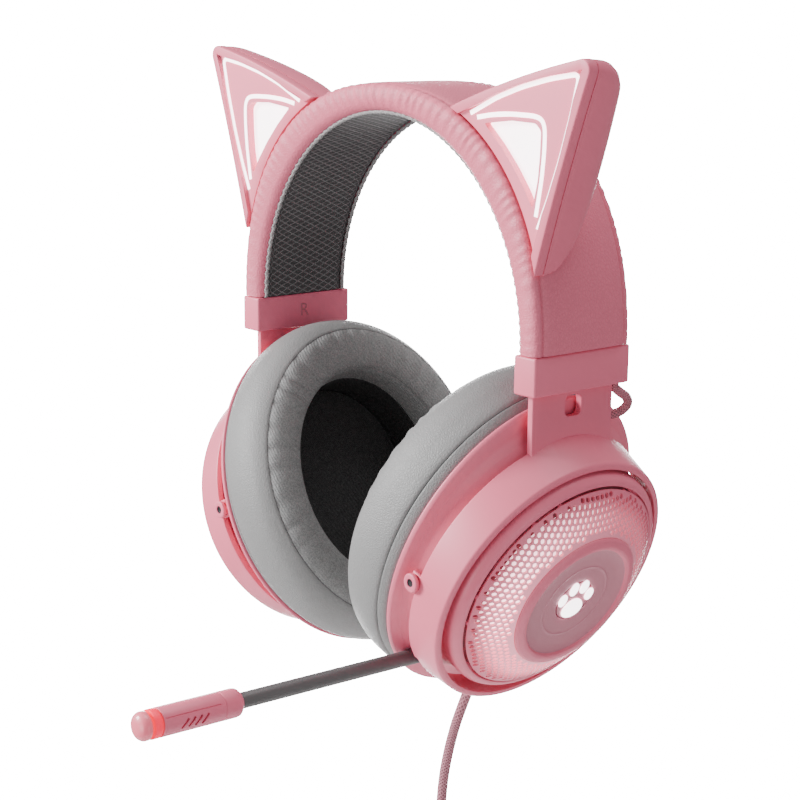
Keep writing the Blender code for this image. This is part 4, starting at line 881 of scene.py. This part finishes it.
def ear_outline(inset=0.0, off=0.35 * MM, foot=20):
    """Up the outer edge, round the tip, down the inner edge and along the band."""
    span = degrees(inset / HALF_IN) * 2.2
    low, high = band_edge(FOOT_LOW + span, off), band_edge(FOOT_HIGH - span, off)
    down, along = (low - TIP).normalized(), (high - TIP).normalized()
    half_angle = (low - TIP).angle(high - TIP) / 2
    into = (down + along).normalized()
    radius = max(3.2 * MM - inset * 0.6, 0.6 * MM)
    point = TIP + into * inset / sin(half_angle)
    centre = point + into * radius / sin(half_angle)
    out_edge, in_edge = (low - point).normalized(), (high - point).normalized()
    start = point + out_edge * (centre - point).dot(out_edge)
    end = point + in_edge * (centre - point).dot(in_edge)
    free = bowed(low, start, 0.6 * MM, EDGE_POINTS)
    first, last = start - centre, end - centre
    turn = first.angle_signed(last)
    for i in range(TIP_POINTS):
        part = -turn * i / TIP_POINTS
        free.append(centre + Vector((first.x * cos(part) - first.y * sin(part),
                                     first.x * sin(part) + first.y * cos(part))))
    free += bowed(end, high, -1.2 * MM, EDGE_POINTS)
    down_band = FOOT_LOW - FOOT_HIGH + 2 * span
    return free + [band_edge(FOOT_HIGH - span + down_band * i / foot, off) for i in range(foot)]


def ear_points(points):
    """Points given in millimetres above the seam."""
    return [Vector((x * MM, z * MM + SEAM)) for x, z in points]


def ribbon(points, width):
    """The outline of a line of light of constant width, with its bends rounded."""
    points = eased(points, 2.8 * MM, 6, closed=False)
    left, right = [], []
    for i, here in enumerate(points):
        before, after = points[max(i - 1, 0)], points[min(i + 1, len(points) - 1)]
        along = (after - before).normalized()
        across = Vector((-along.y, along.x)) * width / 2
        left.append(here + across)
        right.append(here - across)
    return left + right[::-1]


def ear_inside(inset):
    """The ear's two free edges moved in, run on past the band."""
    free = ear_outline()[:FREE_POINTS]
    moved = []
    for i, here in enumerate(free):
        along = (free[min(i + 1, FREE_POINTS - 1)] - free[max(i - 1, 0)]).normalized()
        moved.append(here + Vector((-along.y, along.x)) * inset)
    first = moved[0] + (moved[0] - moved[1]).normalized() * 9 * MM
    last = moved[-1] + (moved[-1] - moved[-2]).normalized() * 9 * MM
    return [first, *moved, last]


def ear_frame():
    """The slab, its recess, the window and the slots for the two lines of light."""
    piece = slab("ear_face_left", ear_outline(), -20.3 * MM, -16.45 * MM)
    soft_edges(piece, 0.5 * MM, 4)
    combine(piece, slab("recess", ear_inside(3.0 * MM), -25 * MM, -18.8 * MM))
    soft_edges(piece, 0.3 * MM, 3, 60)
    for outline in (eased(ear_points(WINDOW), 1.0 * MM), ribbon(ear_points(OUTER_LINE), 1.45 * MM),
                    ribbon(ear_points(INNER_LINE), 1.45 * MM)):
        combine(piece, slab("opening", outline, -25 * MM, -10 * MM))
    choose(piece)
    bpy.ops.object.shade_smooth_by_angle(angle=radians(35))
    return piece


ear_left = ear_frame()
ear_right = twin(ear_left, "ear_face_right")
for side, piece in (("left", ear_left), ("right", ear_right)):
    dress(piece, [shell, panel_painted_glow], "headband", "pink_shell", f"ear_frame_{side}")
    # The recess floor takes the panel with the painted glow.
    paint(piece, 1, lambda c: abs(c.y + 18.8 * MM) < 0.05 * MM)
print("ear frame", len(ear_left.data.polygons), "faces")


# %% Ear lights
def ear_lights():
    """The light-guide sheet with its two ribs."""
    piece = slab("ear_light_left", ear_outline(4.2 * MM, 2.0 * MM), -16.3 * MM, -15.3 * MM)
    for line in (OUTER_LINE, INNER_LINE):
        combine(piece, slab("rib", ribbon(ear_points(line), 1.3 * MM), -18.95 * MM, -15.8 * MM), "UNION")
    return piece


lights_left = ear_lights()
lights_right = twin(lights_left, "ear_light_right")
for side, piece in (("left", lights_left), ("right", lights_right)):
    dress(piece, white_light, "headband", "light_guide", f"ear_light_guide_{side}")
print("ear lights", len(lights_left.data.polygons), "faces")


# %% Ear backs
def ear_dome():
    """The domed back, from the band up to the ear's free edges, then thickened inwards."""
    free = ear_outline()[:FREE_POINTS]
    lengths = [0.0]
    for a, b in zip(free, free[1:]):
        lengths.append(lengths[-1] + (b - a).length)

    def on_edge(t):
        want = t * lengths[-1]
        i = max(k for k in range(len(free) - 1) if lengths[k] <= want + 1e-12)
        return free[i].lerp(free[i + 1], (want - lengths[i]) / (lengths[i + 1] - lengths[i]))

    def place(u, v):
        h = sin(v * pi / 2)
        swell = (4 * u * (1 - u)) ** 0.5 * sqrt(max(1 - h ** 4.2, 0))
        flat = band_edge(FOOT_LOW + (FOOT_HIGH - FOOT_LOW) * u, 0.35 * MM).lerp(on_edge(u), h)
        return Vector((flat.x, -16.4 * MM + 20.5 * MM * swell, flat.y))
    piece = bent_grid("ear_shell_left", place, 60, 30, smooth=60)
    if sum(face.normal.y for face in piece.data.polygons) < 0:
        piece.data.flip_normals()
    change(piece, "SOLIDIFY", thickness=1.5 * MM, offset=-1)
    choose(piece)
    bpy.ops.object.shade_smooth_by_angle(angle=radians(50))
    return piece


dome_left = ear_dome()
dome_right = twin(dome_left, "ear_shell_right")
for side, piece in (("left", dome_left), ("right", dome_right)):
    dress(piece, shell, "headband", "pink_shell", f"ear_back_{side}")
print("ear back", len(dome_left.data.polygons), "faces")

# %% [markdown]
# ## Sliding yokes
# Each yoke is one moulding: a flat plate that slides in the end cap, and a tapering hoop that holds the ear
# cup on two pins. The hoop is a ring with an oval near edge and a round far edge. The plate is a slab whose
# lower edge follows the hoop, so joining the two with a boolean leaves no step. The right yoke is the
# mirror image, made before the left one gets its two reliefs, for the microphone's boom and for the cord.

# %% Yokes
def yoke():
    """Hoop and plate joined, with pivot bosses, pin holes and the plate's small window."""
    near_w, near_t, far, wall = 46.3 * MM, 48.3 * MM, 45.4 * MM, 2.2 * MM
    profile = [(8.7 * MM, near_w, near_t), (20.9 * MM, far + 0.15 * MM, far + 0.15 * MM),
               (21.5 * MM, far - 0.5 * MM, far - 0.5 * MM), (21.5 * MM, far - wall, far - wall),
               (8.7 * MM, near_w - wall, near_t - wall)]
    hoop = cup_ring("yoke_bow_left", eased(profile, 0.5 * MM, 3), 192, drop=1.4 * MM)
    side = 17.2
    lower = []
    for k in range(-10, 11):
        y = side * k / 10
        v = near_t * sqrt(1 - (y * MM / near_w) ** 2) - 1.4 * MM
        lower.append((y * MM, cup(8.7 * MM, 0, v).z - 1.2 * MM))
    outline = lower + eased([(side * MM, SEAM - 18 * MM), (side * MM, SEAM - 12.6 * MM),
                             (11.9 * MM, SEAM - 12.6 * MM), (11.9 * MM, SEAM + 19 * MM),
                             (-11.9 * MM, SEAM + 19 * MM), (-11.9 * MM, SEAM - 12.6 * MM),
                             (-side * MM, SEAM - 12.6 * MM), (-side * MM, SEAM - 18 * MM)],
                            0.9 * MM, 3, False)
    plate = slab("plate", outline, 0, 2.2 * MM)
    for vert in plate.data.vertices:
        vert.co = (68.4 * MM + vert.co.y, vert.co.x, vert.co.z)
    close_up(plate)
    soft_edges(plate, 0.35 * MM, 3)
    combine(hoop, plate, "UNION")
    for sign in (-1, 1):
        ends = sorted((sign * 44.6 * MM, sign * 46.1 * MM))
        boss = cup_block("boss", (5.1 * MM, ends[0], -3.1 * MM), (9.8 * MM, ends[1], 3.1 * MM), 0.5 * MM)
        combine(hoop, boss, "UNION")
    window = block("window", (69.5 * MM, 0, SEAM - 17.5 * MM), (12 * MM, 7.0 * MM, 6.7 * MM))
    round_along(window, 0, 1.8 * MM, 6)
    combine(hoop, window)
    for sign in (-1, 1):
        combine(hoop, rod("pin_hole", cup(7.2 * MM, sign * 40 * MM, 0), (0, sign, 0), 2.2 * MM, 12 * MM))
    return hoop


yoke_left = yoke()
yoke_right = twin(yoke_left, "yoke_bow_right")
for relief, low, high in (("boom_relief", (4.0, -52, -37.8), (10.5, -24, -30.8)),
                          ("cord_relief", (4.0, -3.6, -60), (11.3, 3.6, -43))):
    combine(yoke_left, cup_block(relief, *scaled((low, high)), 0.8 * MM))
for side, piece in (("left", yoke_left), ("right", yoke_right)):
    choose(piece)
    bpy.ops.object.shade_smooth_by_angle(angle=radians(35))
    dress(piece, shell, f"slider_{side}", "pink_shell", f"yoke_{side}")
print("yoke", len(yoke_left.data.polygons), "faces")

# %% [markdown]
# ## Ear cups
# The cup is a stack along its axis: an oval housing with a thin flange against the cushion, a round bezel
# with a soft shoulder, a domed grille set in the bezel, and a hub in the middle. Each is a closed profile
# turned round the cup, oval where the flange is and round at the bezel. Its corners are rounded in the
# profile itself.

# %% Housing and bezel
housing_line = [(0.0, 48.1, 55.6), (0.6, 48.5, 56.0), (1.8, 48.0, 55.4), (3.2, 45.7, 50.6),
                (5.0, 44.3, 47.0), (8.0, 42.7, 44.6), (12.0, 41.3, 42.0), (12.0, 39.4, 40.1),
                (8.0, 40.8, 42.7), (5.0, 42.4, 45.1), (3.0, 43.9, 48.0), (0.0, 43.9, 48.0)]
bezel_line = [(12.3, 41.2, 41.8), (18.0, 41.0, 41.0), (22.3, 40.9, 40.9), (24.0, 39.7, 39.7),
              (24.5, 38.5, 38.5), (24.5, 37.8, 37.8), (22.1, 37.8, 37.8), (18.0, 39.2, 39.2),
              (12.3, 39.4, 40.0)]


BUTTON_ANGLES = (112, 128)
mic_way = Vector((0.014938, -0.999263, 0.035362))
mic_port = cup(5.6 * MM, -32.7 * MM, -34.6 * MM)


def mic_at(along):
    """A point of the microphone's boom, from the port outwards."""
    return mic_port + mic_way * along


housing_left = cup_ring("housing_shell_left", eased(scaled(housing_line), 0.55 * MM, 3), 192)
for sign in (-1, 1):
    combine(housing_left, rod("socket", cup(7.2 * MM, sign * 37 * MM, 0), (0, sign, 0), 2.2 * MM, 12 * MM))
housing_right = twin(housing_left, "housing_shell_right")
combine(housing_left, rod("port", mic_at(-12 * MM), mic_way, 2.8 * MM, 22 * MM))
combine(housing_left, rod("cord_way", cup(5.2 * MM, 0, -42 * MM), cup_way(0, 0, -1), 3.2 * MM, 15 * MM))
for angle in BUTTON_ANGLES:
    a = radians(angle)
    combine(housing_left, rod("button_way", cup(4.6 * MM, 36 * MM * sin(a), 36 * MM * cos(a)),
                              cup_way(0, sin(a), cos(a)), 2.55 * MM, 16 * MM))
bezel_left = cup_ring("bezel_ring_left", eased(scaled(bezel_line), 1.1 * MM, 5), 192)
bezel_right = twin(bezel_left, "bezel_ring_right")
for side, house, ring in (("left", housing_left, bezel_left), ("right", housing_right, bezel_right)):
    choose(house)
    bpy.ops.object.shade_smooth_by_angle(angle=radians(40))
    dress(house, shell, f"cup_{side}", "pink_shell", f"cup_housing_{side}")
    dress(ring, shell, f"cup_{side}", "pink_shell", f"cup_bezel_{side}")
print("housing", len(housing_left.data.polygons), "faces")

# %% [markdown]
# ## Grille
# The grille is a thin dome with straight rows of nearly round holes in a honeycomb, about 2 mm apart. On
# the real part the sheet is perforated flat and then domed, and it is built so here: each honeycomb cell is
# a six-sided border round a twelve-sided hole, cells without a hole fill the two rims, the sheet is drawn
# in to two clean circles, then domed and thickened. Behind it a pale diffuser shines through all but the
# outermost rows.

# %% Grille and diffuser
PITCH, HOLE = 2.05, 0.79
SPHERE, SEAT = 64.7, 25.0
RIM_IN, RIM_OUT = 24.15, 37.25
HOLES_FROM, HOLES_TO = 25.5, 36.2


def dome(r, under=0.0):
    """How far along the cup's axis the grille stands at a distance from the axis, in millimetres."""
    return SEAT - sqrt(SPHERE ** 2 - 37.2 ** 2) + sqrt((SPHERE - under) ** 2 - min(r, 37.2) ** 2)


def drawn_in(x, y):
    """Draws a point of the flat sheet in to the ring between the hub and the bezel."""
    r = sqrt(x * x + y * y)
    new = min(max(r, RIM_IN), RIM_OUT)
    return (x / r * new, y / r * new)


def perforated():
    """The perforated sheet, domed and thickened, and how many holes it has."""
    mesh = bmesh.new()
    found = {}

    def point(x, y):
        key = (round(x, 3), round(y, 3))
        if key not in found:
            x, y = drawn_in(x, y)
            found[key] = mesh.verts.new((x, y, dome(sqrt(x * x + y * y))))
        return found[key]
    reach = PITCH / sqrt(3)
    holes = 0
    for row in range(-24, 25):
        for column in range(-24, 25):
            cx = PITCH * (column + 0.5 * (row % 2))
            cy = PITCH * sqrt(3) / 2 * row
            r = sqrt(cx * cx + cy * cy)
            if r > RIM_OUT + reach or r < RIM_IN - reach:
                continue
            corners = [point(cx + reach * sin(radians(60 * k)), cy + reach * cos(radians(60 * k)))
                       for k in range(6)]
            if not HOLES_FROM < r < HOLES_TO:
                mesh.faces.new(corners)
                continue
            holes += 1
            rim = []
            for k in range(12):
                a = radians(30 * k)
                hole = HOLE * (1.0 if k % 2 else 1.06)
                x, y = cx + hole * sin(a), cy + hole * cos(a)
                rim.append(mesh.verts.new((x, y, dome(sqrt(x * x + y * y)))))
            for k in range(6):
                n = (k + 1) % 6
                mesh.faces.new((corners[k], corners[n], rim[2 * n], rim[2 * k + 1], rim[2 * k]))
    data = bpy.data.meshes.new("grille_mesh_left")
    mesh.to_mesh(data)
    mesh.free()
    piece = bpy.data.objects.new("grille_mesh_left", data)
    bpy.context.collection.objects.link(piece)
    choose(piece)
    bpy.ops.object.mode_set(mode="EDIT")
    bpy.ops.mesh.select_all(action="SELECT")
    bpy.ops.mesh.remove_doubles(threshold=0.02)
    bpy.ops.mesh.select_all(action="SELECT")
    bpy.ops.mesh.dissolve_degenerate(threshold=0.02)
    sheet = bmesh.from_edit_mesh(piece.data)
    thin = [face for face in sheet.faces if face.calc_area() < 0.015]
    bmesh.ops.delete(sheet, geom=thin, context="FACES")
    bmesh.update_edit_mesh(piece.data)
    bpy.ops.mesh.select_all(action="SELECT")
    bpy.ops.mesh.normals_make_consistent(inside=False)
    bpy.ops.object.mode_set(mode="OBJECT")
    if sum(face.normal.z for face in piece.data.polygons) < 0:
        piece.data.flip_normals()
    change(piece, "SOLIDIFY", thickness=1.0, offset=-1)
    change(piece, "BEVEL", width=0.09, segments=1, limit_method="ANGLE", angle_limit=radians(60))
    for vert in piece.data.vertices:
        vert.co = cup(vert.co.z * MM, vert.co.x * MM, vert.co.y * MM)
    close_up(piece)
    bpy.ops.object.shade_smooth_by_angle(angle=radians(35))
    return piece, holes


grille_left, hole_count = perforated()
glow_line = [(29.4, 21.5), (29.6, 24.4)]
glow_line += [(dome(r, 1.0) - 2.0, r) for r in (26.5, 28.5, 30.5, 32.0, 33.2, 35.2, 37.0)]
glow_line += [(s - 0.8, r) for s, r in reversed(glow_line)]
glow_left = cup_ring("diffuser_left", [(s * MM, r * MM, r * MM) for s, r in glow_line], 96)
# The glow fades towards the rim and is stronger towards the front and bottom of the cup. On the grille, which
# is no lamp, it is painted light.
for piece in (grille_left, glow_left):
    glow = piece.data.attributes.new("glow", "FLOAT", "POINT")
    for vert, value in zip(piece.data.vertices, glow.data):
        away = vert.co - cup(0, 0, 0)
        r = along_cup(vert.co)[1] / MM
        y, v = away.y / MM, away.dot(cup_way(0, 0, 1)) / MM
        facing = 0.62 + 0.38 * (-0.75 * y - 0.66 * v) / max(r, 1)
        value.value = min(max((36.4 - r) / 6.5, 0), 1) ** 1.2 * facing
grille_right = twin(grille_left, "grille_mesh_right")
glow_right = twin(glow_left, "diffuser_right")
for side, mesh_piece, glow in (("left", grille_left, glow_left), ("right", grille_right, glow_right)):
    dress(mesh_piece, mesh_painted_glow, f"cup_{side}", "pink_shell", f"grille_{side}")
    dress(glow, [pink_light, shade], f"cup_{side}", "light_guide", f"light_ring_{side}")
    sign = 1 if side == "left" else -1
    paint(glow, 1, lambda c: along_cup((sign * c.x, c.y, c.z))[1] > 33.2 * MM)
print("grille", hole_count, "holes,", len(grille_left.data.polygons), "faces")

# %% [markdown]
# ## Hub and its emblem
# The hub is a flat rim round a shallow dish. In the dish a lit paw print, made of five ovals of white
# diffuser, stands a little proud of a small disc.

# %% Hub
hub_line = eased([(30.2, 24.0), (32.5, 24.0), (33.15, 23.3), (33.6, 21.6), (33.5, 20.4), (32.7, 19.9),
                  (32.3, 17.0), (32.05, 13.5), (32.2, 13.0), (32.0, 12.5), (31.9, 9.5), (31.8, 7.3),
                  (30.2, 7.3)], 0.35, 3)
hub_left = cup_ring("hub_cap_left", [(s * MM, r * MM, r * MM) for s, r in hub_line], 160)
hub_right = twin(hub_left, "hub_cap_right")
for side, piece in (("left", hub_left), ("right", hub_right)):
    dress(piece, [shell, dish_pink], f"cup_{side}", "pink_shell", f"hub_{side}")
    sign = 1 if side == "left" else -1
    paint(piece, 1, lambda c: along_cup((sign * c.x, c.y, c.z))[1] < 19.9 * MM)


def emblem():
    """A disc with five raised ovals, joined into one piece."""
    disc = [(31.75, 0.0), (31.75, 6.9), (30.9, 6.9), (30.9, 0.0)]
    base = turned("paw_left", scaled(disc), cup(0, 0, 0), cup_way(1, 0, 0), 64)
    base.data.materials.append(dish_pink)
    base.data.materials.append(white_light)
    toes = [(0.0, -2.8, 4.3, 3.6), (-5.7, 1.4, 1.7, 2.3), (-2.2, 5.0, 1.75, 2.5), (2.2, 5.0, 1.75, 2.5),
            (5.7, 1.4, 1.7, 2.3)]
    parts = [base]
    for y, v, wide, tall in toes:
        bpy.ops.object.select_all(action="DESELECT")
        bpy.ops.mesh.primitive_cylinder_add(vertices=40, radius=1, depth=1)
        toe = bpy.context.object
        for vert in toe.data.vertices:
            shape = 1 + (0.10 * vert.co.y if y == 0 else 0)
            vert.co = cup((32.1 + 0.5 * vert.co.z) * MM, (y + vert.co.x * wide / shape) * MM,
                          (v + vert.co.y * tall) * MM)
        toe.data.materials.append(white_light)
        close_up(toe)
        parts.append(toe)
    bpy.ops.object.select_all(action="DESELECT")
    for part in parts:
        part.select_set(True)
    bpy.context.view_layer.objects.active = base
    bpy.ops.object.join()
    change(base, "BEVEL", width=0.15 * MM, segments=2, limit_method="ANGLE", angle_limit=radians(60))
    bpy.ops.object.shade_smooth_by_angle(angle=radians(35))
    return base


paw_left = emblem()
paw_right = twin(paw_left, "paw_right")
for side, piece in (("left", paw_left), ("right", paw_right)):
    dress(piece, [], f"cup_{side}", "light_guide", f"hub_light_{side}")
print("hub", len(hub_left.data.polygons), "faces, emblem", len(paw_left.data.polygons))

# %% [markdown]
# ## Ear cushions
# A cushion is a ring of foam in a sewn cover. Its outer wall is grey leatherette, its face, where it
# touches the head, is a heathered knit, and its inner wall is black speaker cloth. The cover is pulled over
# the flange, so there is a thin seam at the base, one on the shoulder and one at the opening, and the knit
# puckers towards the shoulder seam. The section is turned round the cup finely enough that seams and
# puckers are real relief. SEAMS, KNIT_FROM and CLOTH_FROM count the section's faces from the base of the
# cushion.

# %% Cushions
CUSHION = [(-0.3, 47.2, 54.2), (-1.2, 48.1, 55.0), (-2.6, 48.9, 55.8), (-3.5, 49.2, 56.1),
           (-3.85, 48.7, 55.6), (-4.2, 49.5, 56.4), (-6.0, 50.2, 56.95), (-9.0, 50.65, 57.2),
           (-12.7, 50.8, 57.3), (-16.5, 50.3, 56.5), (-19.6, 49.2, 55.2), (-21.8, 47.7, 53.7),
           (-23.3, 46.2, 52.2), (-23.75, 45.3, 51.3), (-24.1, 44.9, 50.9), (-25.2, 43.6, 49.5),
           (-26.1, 41.6, 47.4), (-26.5, 39.3, 45.1), (-26.4, 37.0, 42.6), (-25.9, 35.0, 40.3),
           (-25.0, 33.3, 38.4), (-24.1, 32.6, 37.5), (-23.7, 32.9, 37.9), (-22.9, 31.9, 36.9),
           (-19.5, 30.8, 36.1), (-15.5, 30.1, 35.4), (-13.0, 30.0, 35.2), (-8.0, 29.5, 34.9),
           (-0.4, 29.2, 34.7)]
section = flowing(scaled(CUSHION), 3)
SECTION_FACES = len(section)
SEAMS = ((11, 13), (38.5, 40), (65, 66))
KNIT_FROM, CLOTH_FROM = 40, 75


def cushion(name, seed):
    """The section turned round the cup, with puckers on its face and a slight unevenness on its wall."""

    def place(u, v):
        s, wide, tall = step(section, v)
        a = tau * u
        k = round(v * SECTION_FACES) % SECTION_FACES
        swell = 0.0
        on_face = 40 <= k <= 61
        if on_face:
            near = min(1.0, (k - 39) / 5) * ((62 - k) / 22) ** 0.8
            where = 0.35 + 0.65 * max(0.0, noise.noise(Vector((cos(a) * 1.6, sin(a) * 1.6, seed))) + 0.35)
            shift = 2.2 * noise.noise(Vector((cos(a) * 3, sin(a) * 3, seed + 4)))
            ripple = abs(sin(a * 19 + shift)) ** 0.7 - 0.6
            swell = 1.9 * ripple * near * where
        elif 15 <= k < 36:
            swell = 0.22 * noise.noise(Vector((cos(a) * 2.2, sin(a) * 2.2, -s / MM * 0.12 + seed)))
        push = 0 if on_face else swell * MM
        return cup(s - (swell * MM if on_face else 0), (wide + push) * sin(a), (tall + push) * cos(a))
    return bent_grid(name, place, 320, SECTION_FACES, smooth=70)


cushion_left = cushion("cushion_pad_left", 1.7)


def dress_cushion(piece, side):
    """Leatherette, seams, knit and speaker cloth follow each other along the section, which the UV holds."""
    covers = [grey_hide, stitch, grey_knit, black_cloth]
    dress(piece, covers, f"cup_{side}", "grey_leather", f"ear_cushion_{side}")
    uv = piece.data.uv_layers.active.data
    counts = [0, 0, 0, 0]
    for face in piece.data.polygons:
        k = sum(uv[i].uv.y for i in face.loop_indices) / len(face.loop_indices) * SECTION_FACES
        on_seam = any(low < k < high for low, high in SEAMS)
        kind = 1 if on_seam else 3 if k > CLOTH_FROM else 2 if k > KNIT_FROM else 0
        face.material_index = kind
        counts[kind] += 1
    return counts


cushion_right = twin(cushion_left, "cushion_pad_right")
print("cushion faces by finish:", dress_cushion(cushion_left, "left"), dress_cushion(cushion_right, "right"))

# %% [markdown]
# ## Microphone
# The boom is a thin rubbery rod that slides into the cup. At its end is a slim capsule with slanted sound
# slots and a fine groove, then a ring that glows red when muted, then the button that mutes it. All are
# turned about one line, and the slots are cut with thin slanted blocks.

# %% Microphone
def mic_turned(name, profile, around=48, corner=0.4):
    """A piece turned about the boom's line, through (distance, radius) points in millimetres."""
    line = eased(profile, corner, 3, closed=False)
    return turned(name, scaled(line), mic_port, mic_way, around)


boom = mic_turned("boom_rod", [(-15.5, 0), (-15.5, 2.9), (-13.9, 2.9), (-13.9, 2.45), (68.7, 2.45),
                               (68.7, 0)], 32)
dress(boom, rubber, "microphone", "dark_rubber", "mic_boom")

capsule = mic_turned("capsule_shell", [(69.0, 0), (69.0, 3.3), (69.9, 4.2), (71.0, 4.4), (75.6, 4.4),
                                       (75.75, 4.2), (76.0, 4.2), (76.15, 4.4), (97.1, 4.4), (97.1, 2.6),
                                       (93.2, 2.6), (93.2, 0)], 64, 0.2)
beside = mic_way.cross(Vector((0, 0, 1))).normalized()
above = beside.cross(mic_way).normalized()
outward = -beside if beside.x < 0 else beside
lean = (above * 0.72 - mic_way * 0.62).normalized()
for k in range(4):
    at = mic_at((83.2 + 2.3 * k) * MM) + outward * 4.2 * MM - above * 0.5 * MM
    slot_ways = (outward, outward.cross(lean).normalized(), lean)
    combine(capsule, leaning_block("slot", at, slot_ways, (1.6 * MM, 0.75 * MM, 3.4 * MM)))
at = mic_at(87.0 * MM) + outward * 3.9 * MM + above * 2.3 * MM
combine(capsule, leaning_block("groove", at, (mic_way, outward, above), (19.0 * MM, 0.8 * MM, 0.35 * MM)))
choose(capsule)
bpy.ops.object.shade_smooth_by_angle(angle=radians(35))
dress(capsule, shell, "microphone", "pink_shell", "mic_capsule")

ring_line = eased([(97.5, 2.6), (97.5, 4.4), (99.9, 4.4), (99.9, 2.6)], 0.3, 3)
red_ring = turned("mute_ring", scaled([*ring_line, ring_line[0]]), mic_port, mic_way, 64)
dress(red_ring, red_light, "microphone", "red_light", "mic_mute_light")
button = mic_turned("mute_tip", [(94.6, 0), (94.6, 2.2), (100.8, 2.2), (100.8, 4.3), (102.4, 4.3),
                                 (103.5, 3.6), (104.2, 2.3), (104.4, 1.0), (104.4, 0)], 64, 0.5)
# The button carries the painted red glow.
dress(button, tip_painted_red_glow, "mute_button", "pink_gloss", "mic_mute_button")
print("microphone reaches", [round(c, 4) for c in mic_at(104.4 * MM)])

# %% [markdown]
# ## Small parts
# Two round buttons at the back of the left cup set the volume. A short braided cable loops from under each
# end cap to the foot of its sliding plate, and moves with the plate. The cord leaves through a ribbed bend
# relief, and its coil is held by a soft tie. The plug has an over-moulded grip with shallow ribs and a
# plain steel shell.

# %% Buttons, jumper cables and cord relief
for name, angle in zip(("volume_up", "volume_down"), BUTTON_ANGLES):
    a = radians(angle)
    out = cup_way(0, sin(a), cos(a))
    wide, tall = 44.3 * MM, 47.0 * MM
    rim = 1 / sqrt((sin(a) / wide) ** 2 + (cos(a) / tall) ** 2)
    start = cup(4.6 * MM, (rim - 4.3 * MM) * sin(a), (rim - 4.3 * MM) * cos(a))
    line = eased([(0, 0), (0, 2.3), (5.4, 2.3), (5.38, 1.0), (5.3, 0)], 0.45, 4, closed=False)
    dot = turned(f"{name}_cap", scaled(line), start, out, 40)
    dress(dot, trim, f"{name}_button", "pink_gloss", name)

JUMPER = [(69.7, 18.9, -12.7), (69.7, 19.0, -14.4), (70.1, 21.4, -16.4), (70.3, 24.1, -18.3),
          (69.9, 25.0, -20.8), (68.9, 22.6, -23.0), (67.3, 18.9, -23.9)]
for side, sign in (("left", 1), ("right", -1)):
    route = flowing([Vector((sign * x * MM, y * MM, z * MM + SEAM)) for x, y, z in JUMPER], 5)
    jumper = tube(f"jumper_{side}", route, 1.5 * MM, 14)
    dress(jumper, short_braid, f"slider_{side}", "braid", f"jumper_cable_{side}")

pin_line = [(0.0, 0), (0.0, 1.9), (5.6, 1.9), (5.6, 3.0), (6.6, 3.0), (6.9, 2.7), (6.9, 1.3), (6.3, 1.2),
            (6.3, 0)]
for label, sign in (("front", -1), ("back", 1)):
    line = scaled(eased(pin_line, 0.25, 2, closed=False))
    pin = turned(f"pin_{label}_left", line, cup(7.2 * MM, sign * 41.1 * MM, 0), (0, sign, 0), 40)
    other = twin(pin, f"pin_{label}_right")
    for side, piece in (("left", pin), ("right", other)):
        dress(piece, [shell, black_plastic_and_hole_shade], f"slider_{side}", "steel", f"pivot_pin_{label}_{side}")
        mid = cup(7.2 * MM, 0, 0)
        mid.x *= 1 if side == "left" else -1
        # The shallow dip in the middle of each pin's end is painted black: painted shade that stands for the
        # dark of a hole.
        paint(piece, 1, lambda c: sqrt((c.x - mid.x) ** 2 + (c.z - mid.z) ** 2) < 1.28 * MM)

gland_line = [(0, 0), (0, 2.9), (4.0, 2.9)]
for k in range(6):
    x, r = 4.4 + 1.4 * k, 2.85 - 0.1 * k
    gland_line += [(x, r - 0.35), (x + 0.35, r - 0.35), (x + 0.5, r), (x + 1.0, r - 0.05)]
gland_line += [(13.0, 2.15), (13.0, 0)]
gland = turned("bend_relief", scaled(gland_line), cup(5.2 * MM, 0, -45 * MM), cup_way(0, 0, -1), 32)
dress(gland, rubber, "cup_left", "dark_rubber", "cord_gland")
print("small parts done")

# %% [markdown]
# ## Inner parts and finish of the mechanical nodes
# What shows only through openings keeps its mechanical mesh, and takes a finish.

# %% Finishes of the kept nodes
KEPT = {"ear_light_board_left": board_green, "ear_light_board_right": board_green,
        "headband_spring": steel, "headband_foam": foam, "control_board": board_green,
        "baffle_left": black_plastic_and_hole_shade, "baffle_right": black_plastic_and_hole_shade, "driver_left": black_plastic_and_hole_shade,
        "driver_right": black_plastic_and_hole_shade, "driver_cloth_left": black_cloth, "driver_cloth_right": black_cloth,
        "usb_plug_grip": rubber, "usb_plug_shell": steel, "cord_tie": rubber}
for name, material in KEPT.items():
    kept = bpy.data.objects[name]
    for slot in kept.material_slots:
        slot.material = material
print("kept nodes:", len(KEPT))
